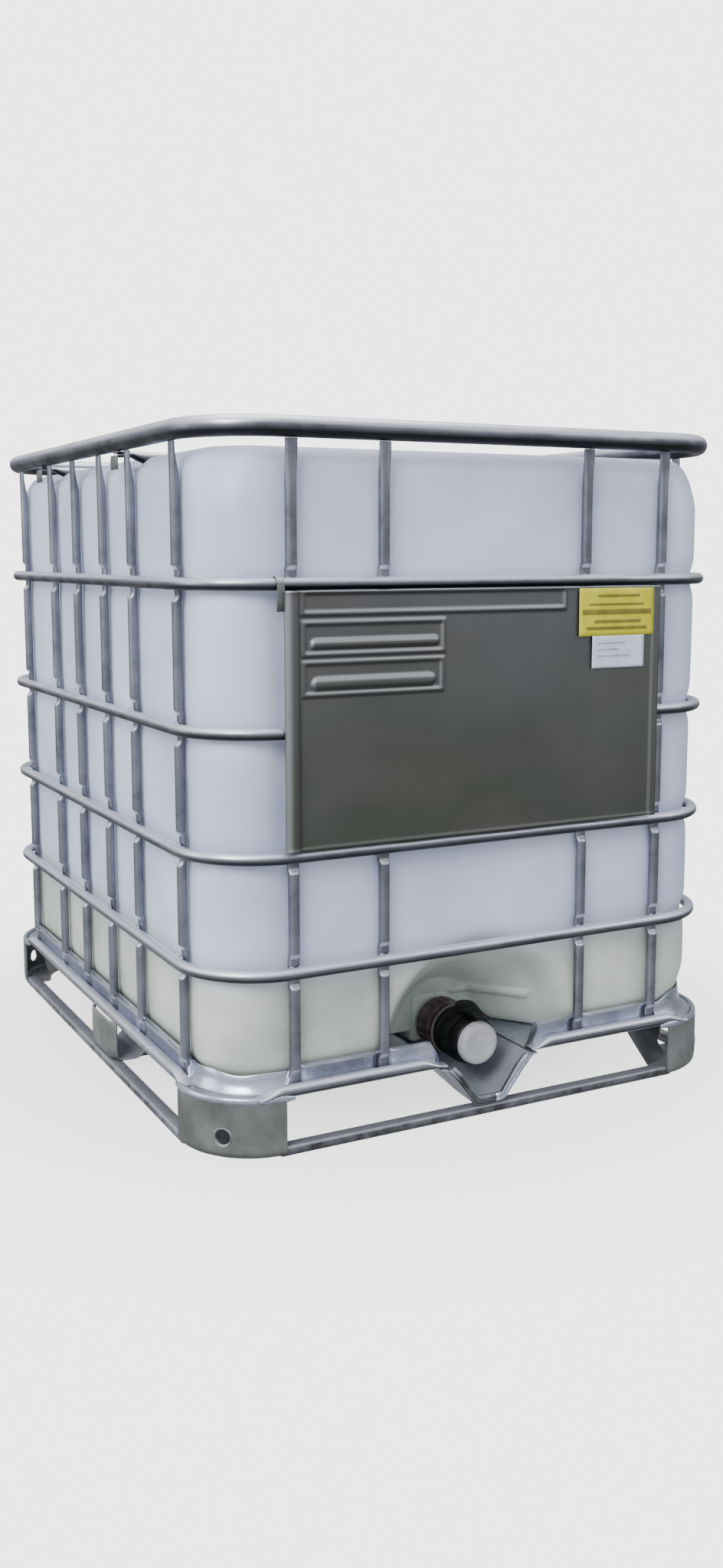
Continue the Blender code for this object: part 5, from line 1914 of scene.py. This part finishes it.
# ---- valve ------------------------------------------------------------------------------
@dataclass
class Valve:
    """Outlet valve with its union nut, disc, lever, cap and seal."""

    finishes: Finishes
    nut_ribs: int = 18
    cap_ribs: int = 40
    face_depth: float = 0.013

    def build(self) -> None:
        """Build the valve's pieces."""
        self.z = Extent.of("union_nut").middle.z
        self.front = Vector((0, -1, 0))
        self.nut()
        self.body()
        self.lever()
        self.cap()
        self.finishes.dress(self.disc(), Slot.STEEL, ["valve_disc"], "valve_handle")

    def along(self, name: str) -> tuple[Vector, float, float]:
        """Where a turned piece starts, its length and its radius."""
        e = Extent.of(name)
        return Vector((0, e.high.y, self.z)), e.size.y, e.size.x / 2

    def nut(self) -> None:
        """Union nut with broad grip ribs."""
        base, length, r = self.along("union_nut")

        def grip(angle: float, height: float) -> float:
            """Broad ribs along the nut."""
            wave = smooth(math.cos(self.nut_ribs * angle), -0.3, 0.5)
            return -0.0028 * (1 - wave) * window(height - length / 2, length * 0.36, length * 0.46)

        steps = [(r, length * k) for k in (0.93, 0.85, 0.6, 0.4, 0.15, 0.07)]
        hole, groove = 0.0325, 0.0385
        profile = [(r - 0.003, length), (r - 0.0008, length - 0.0008)] + steps
        profile += [(r - 0.0008, 0.0008), (r - 0.003, 0.0), (hole, 0.0), (hole, length - 0.012),
                    (groove, length - 0.012), (groove, length - 0.005), (0.033, length - 0.005),
                    (0.033, length)]
        item = turned("union_nut_moulded", profile, base, self.front, 216, grip)
        self.finishes.dress(item, Slot.NUT, ["union_nut"])

    def body(self) -> None:
        """Valve body with collars, stem boss, spout thread and a pale tether ring."""
        base, length, r = self.along("valve_body")
        nut = Extent.of("union_nut")
        collar = base.y - nut.low.y + 0.0005
        root = length - 0.025
        barrel, bore, spout = 0.0325, 0.025, 0.028
        valley = spout - 0.0012
        thread = []
        for k in range(5):
            at = root + 0.005 + k * 0.004
            thread += [(valley, at), (spout, at + 0.001), (spout, at + 0.002), (valley, at + 0.003)]
        flange = nut.size.x / 2 - 0.007
        ring_at = collar + 0.015
        collars = ((r - 0.003, 0.0005), (r - 0.0008, 0.002), (r - 0.0008, 0.012), (r - 0.003, 0.0135),
                   (r - 0.003, 0.016), (r - 0.0005, 0.017))
        outline = [(bore, 0.0), (flange, 0.0), (flange, 0.006), (barrel, 0.006), (barrel, ring_at)]
        outline += [(wide, ring_at + beyond) for wide, beyond in collars]
        outline += [(r, root - 0.002), (r - 0.001, root), (valley, root)]
        outline += thread + [(spout - 0.001, length), (bore, length)]
        pipe = turned("pipe", outline, base, self.front, 96)
        stem = Extent.of("valve_disc")
        boss_top = Extent.of("valve_handle").low.z - 0.0003
        start = 0.028
        tall = boss_top - self.z - start
        tube = rounded_profile(((0.0057, 0), (0.0145, 0), (0.012, tall), (0.0057, tall)), 0.0015)
        boss = turned("boss", tube, Vector((0, stem.middle.y, self.z + start)), Vector((0, 0, 1)), 48)
        saddle = rounded_block("saddle", Vector((-0.017, stem.middle.y - 0.012, self.z + 0.020)),
                               Vector((0.017, stem.middle.y + 0.016, self.z + 0.0395)), 0.004)
        self.finishes.dress(merged("valve_body_moulded", [pipe, boss, saddle]), Slot.BLACK, ["valve_body"])
        wide, narrow, thick = r + 0.001, barrel + 0.001, 0.0022
        ring = rounded_profile(((wide, thick), (wide, 0), (narrow, 0), (narrow, thick)), 0.0005)
        item = turned("tether_ring", ring, Vector((0, base.y - ring_at + 0.0023, self.z)), self.front, 72)
        self.finishes.dress(item, Slot.CAP, own="tether")

    def disc(self) -> bpy.types.Object:
        """Closing disc with its stem.

        Returns:
            The new object.
        """
        e = Extent.of("valve_disc")
        r, y = e.size.x / 2, e.middle.y
        plate = turned("disc_plate", rounded_profile(((0, 0.004), (r, 0.004), (r, 0), (0, 0)), 0.0012),
                       Vector((0, y + 0.002, self.z)), self.front, 64)
        tall = e.high.z - self.z
        stem = turned("disc_stem", rounded_profile(((0, tall), (0.005, tall), (0.005, 0), (0, 0)), 0.0006),
                      Vector((0, y, self.z)), Vector((0, 0, 1)), 24)
        return merged("valve_disc_turned", [plate, stem])

    def lever(self) -> None:
        """Hub on the stem and a tapered lever over the cap, dipping to its tip."""
        e = Extent.of("valve_handle")
        y = Extent.of("valve_disc").middle.y
        hub_r, tall = e.high.y - y, e.size.z
        outline = ((0, tall), (hub_r * 0.92, tall), (hub_r, tall * 0.5), (hub_r, 0.0), (0, 0.0))
        hub = turned("hub", rounded_profile(outline, 0.0022), Vector((0, y, e.low.z)), Vector((0, 0, 1)), 48)
        rows = []
        reach = y - e.low.y
        for k in range(25):
            t = k / 24
            at = y - 0.004 - (reach - 0.004) * t
            half = 0.0160 - 0.0040 * smooth(t, 0.0, 0.7)
            half *= math.sqrt(max(0.02, 1 - max(0.0, (t - 0.86) / 0.14) ** 2))
            high = e.high.z + 0.0035 * smooth(0.35 - t, 0.0, 0.3) - 0.0015
            high -= 0.0065 * smooth(t, 0.05, 0.95)
            low = e.low.z + 0.001 + 0.001 * t
            grip = 0.0012 * window(t - 0.62, 0.12, 0.28)
            mid, deep = (high + low) / 2, (high - low) / 2
            rows.append([Vector((a, at, mid + b - (grip if b > 0 else 0) * (1 - (a / 0.015) ** 2)))
                         for a, b in oval(half, deep, 28, 0.55)])
        arm = loft("arm", rows, sharp=50)
        lever = merged("valve_lever_moulded", [hub, arm])
        self.finishes.dress(lever, Slot.BLACK, ["valve_handle"], "valve_handle")

    def cap(self) -> None:
        """Screw cap with fine ribs and a shallow dished front, and its seal."""
        base, length, r = self.along("outlet_cap")

        face_r, split = r - 0.003, length - self.face_depth

        def grip(angle: float, height: float) -> float:
            """Fine ribs on the cap's rim."""
            near = window(height - split / 2, 0.006, 0.010)
            return -0.0009 * (0.5 + 0.5 * math.cos(self.cap_ribs * angle)) * near

        dish = ((0.0, 0.0016), (face_r * 0.55, 0.0016), (face_r * 0.62, 0.0006), (face_r * 0.72, 0.0),
                (face_r - 0.006, 0.0004), (face_r - 0.003, 0.0016), (face_r - 0.001, 0.0042))
        front = [(wide, length - drop) for wide, drop in dish]
        front += [(face_r, split + 0.003), (face_r, split + 0.0003)]
        inner = 0.0285
        back = [(inner, split + 0.0003), (inner, length - 0.004), (0, length - 0.004)]
        self.finishes.dress(turned("outlet_cap_face", front + back, base, self.front, 96), Slot.CAP,
                            ["outlet_cap"], "outlet_cap")
        steps = [(r, split * k) for k in (0.90, 0.75, 0.5, 0.25, 0.08)]
        skirt = [(inner, split), (r - 0.002, split)] + steps + [(r - 0.001, 0.0), (inner, 0.0)]
        self.finishes.dress(turned("outlet_cap_skirt", skirt, base, self.front, 160, grip), Slot.BLACK, (),
                            "outlet_cap")
        start, thick, radius = self.along("outlet_cap_seal")
        hole = radius - 0.010
        profile = rounded_profile(((radius, thick), (radius, 0), (hole, 0), (hole, thick)), 0.001)
        self.finishes.dress(turned("outlet_cap_seal_ring", profile, start, self.front, 72), Slot.RUBBER,
                            ["outlet_cap_seal"], "outlet_cap_seal")


# ---- studio -----------------------------------------------------------------------------
@dataclass
class Studio:
    """Pale floor, soft light and the camera."""

    place: tuple[float, float, float] = (-1.2270, -2.4948, 0.9199)
    heading: float = 27.41
    pitch: float = -7.65
    roll: float = 0.13
    lens: float = 32.57
    shift: tuple[float, float] = (0.0016, -0.0254)
    floor_tone: float = 0.80
    sky: tuple[float, float, float] = (0.86, 0.88, 0.92)
    sky_strength: tuple[float, float] = (0.50, 1.50)
    bright_side: tuple[float, float, float] = (-0.62, -0.35, 0.70)
    backdrop: float = 3.9
    backdrop_tone: float = 0.93
    ramp: tuple[float, float] = (-0.35, 0.95)
    floor_fade: tuple[float, float] = (0.45, 1.15)
    floor_cover: float = 0.70
    floor_size: float = 30.0
    glow: float = 0.75

    def build(self) -> None:
        """Build floor, world, lights and camera."""
        self.floor()
        self.world()
        self.area("key", (-3.4, -2.6, 3.4), (0.0, 0.0, 0.5), 2.2, 185.0, (1.0, 0.99, 0.98))
        self.area("fill", (3.4, -2.6, 2.4), (0.0, 0.0, 0.5), 2.6, 34.0, (0.95, 0.97, 1.0))
        self.area("left", (-4.2, 0.8, 1.6), (0.0, 0.0, 0.55), 2.4, 42.0, (0.92, 0.96, 1.0))
        self.area("top", (0.2, 0.3, 4.2), (0.0, 0.0, 0.8), 3.0, 80.0, (1.0, 1.0, 1.0))
        self.camera()

    def floor(self) -> None:
        """Plain pale floor that fades into the surroundings."""
        bm = bmesh.new()
        bmesh.ops.create_grid(bm, x_segments=1, y_segments=1, size=self.floor_size)
        mesh = bpy.data.meshes.new("studio_floor")
        bm.to_mesh(mesh)
        bm.free()
        item = link("studio_floor", mesh)
        g = Graph("studio_floor_finish")
        tone = self.floor_tone
        base = g.blend(g.noise(2.0, 2), (tone, tone, tone), (tone * 0.985, tone * 0.985, tone * 0.985))
        far = g.add("ShaderNodeVectorMath", {"Vector": g.where})
        far.operation = "LENGTH"
        g.tree.links.new(g.spread(far.outputs["Value"], *self.floor_fade, self.floor_cover, 0.0),
                         g.shader.inputs["Alpha"])
        item.data.materials.append(g.finish(base, 0.9, Emission_Strength=self.glow,
                                            Emission_Color=(1.0, 1.0, 1.0, 1.0)))

    def world(self) -> None:
        """Even pale surroundings, brighter where the camera sees them."""
        world = bpy.data.worlds.new("studio_world")
        world.use_nodes = True
        tree = world.node_tree
        tree.nodes.clear()
        end = tree.nodes.new("ShaderNodeOutputWorld")
        mix = tree.nodes.new("ShaderNodeMixShader")
        seen = tree.nodes.new("ShaderNodeBackground")
        lit = tree.nodes.new("ShaderNodeBackground")
        path = tree.nodes.new("ShaderNodeLightPath")
        seen.inputs[0].default_value = (*[self.backdrop_tone] * 3, 1.0)
        seen.inputs[1].default_value = self.backdrop
        lit.inputs[0].default_value = (*self.sky, 1.0)
        where = tree.nodes.new("ShaderNodeTexCoord")
        toward = tree.nodes.new("ShaderNodeVectorMath")
        toward.operation = "DOT_PRODUCT"
        toward.inputs[1].default_value = self.bright_side
        ramp = tree.nodes.new("ShaderNodeMapRange")
        ramp.inputs["From Min"].default_value = self.ramp[0]
        ramp.inputs["From Max"].default_value = self.ramp[1]
        ramp.inputs["To Min"].default_value = self.sky_strength[0]
        ramp.inputs["To Max"].default_value = self.sky_strength[1]
        tree.links.new(where.outputs["Generated"], toward.inputs[0])
        tree.links.new(toward.outputs["Value"], ramp.inputs["Value"])
        tree.links.new(ramp.outputs[0], lit.inputs[1])
        tree.links.new(path.outputs["Is Camera Ray"], mix.inputs[0])
        tree.links.new(lit.outputs[0], mix.inputs[1])
        tree.links.new(seen.outputs[0], mix.inputs[2])
        tree.links.new(mix.outputs[0], end.inputs[0])
        bpy.context.scene.world = world

    @staticmethod
    def area(name: str, place: tuple[float, float, float], target: tuple[float, float, float], size: float,
             power: float, colour: tuple[float, float, float]) -> None:
        """Soft square light aimed at a point.

        Args:
            name: Name of the light.
            place: Where it stands.
            target: What it faces.
            size: Edge of the square in metres.
            power: Watts.
            colour: Red, green, blue.
        """
        data = bpy.data.lights.new(name, "AREA")
        data.shape = "SQUARE"
        data.size = size
        data.energy = power
        data.color = colour
        item = bpy.data.objects.new(name, data)
        bpy.context.scene.collection.objects.link(item)
        item.location = place
        item.rotation_euler = (Vector(target) - Vector(place)).to_track_quat("-Z", "Y").to_euler()

    def camera(self) -> None:
        """Camera at the working angle."""
        data = bpy.data.cameras.new("camera")
        data.sensor_width = 36.0
        data.lens = self.lens
        data.shift_x, data.shift_y = self.shift
        item = bpy.data.objects.new("camera", data)
        bpy.context.scene.collection.objects.link(item)
        item.location = self.place
        item.rotation_euler = (math.radians(90 + self.pitch), math.radians(self.roll),
                               math.radians(-self.heading))
        bpy.context.scene.camera = item


def main() -> None:
    """Build the container and its surroundings in order."""
    logging.basicConfig(level=logging.INFO, format="%(name)s %(message)s")
    Studio().build()
    finishes = Finishes.make()
    copies = Copies(finishes)
    for part in (Cage(finishes, copies), Crossbars(finishes, copies), BaseTubes(finishes), Tray(finishes),
                 Feet(finishes), Runners(finishes), Chute(finishes), Bottle(finishes),
                 LabelPlate(finishes), FillingLid(finishes), Valve(finishes)):
        LOG.info("building %s", type(part).__name__)
        part.build()


if __name__ == "__main__":
    main()
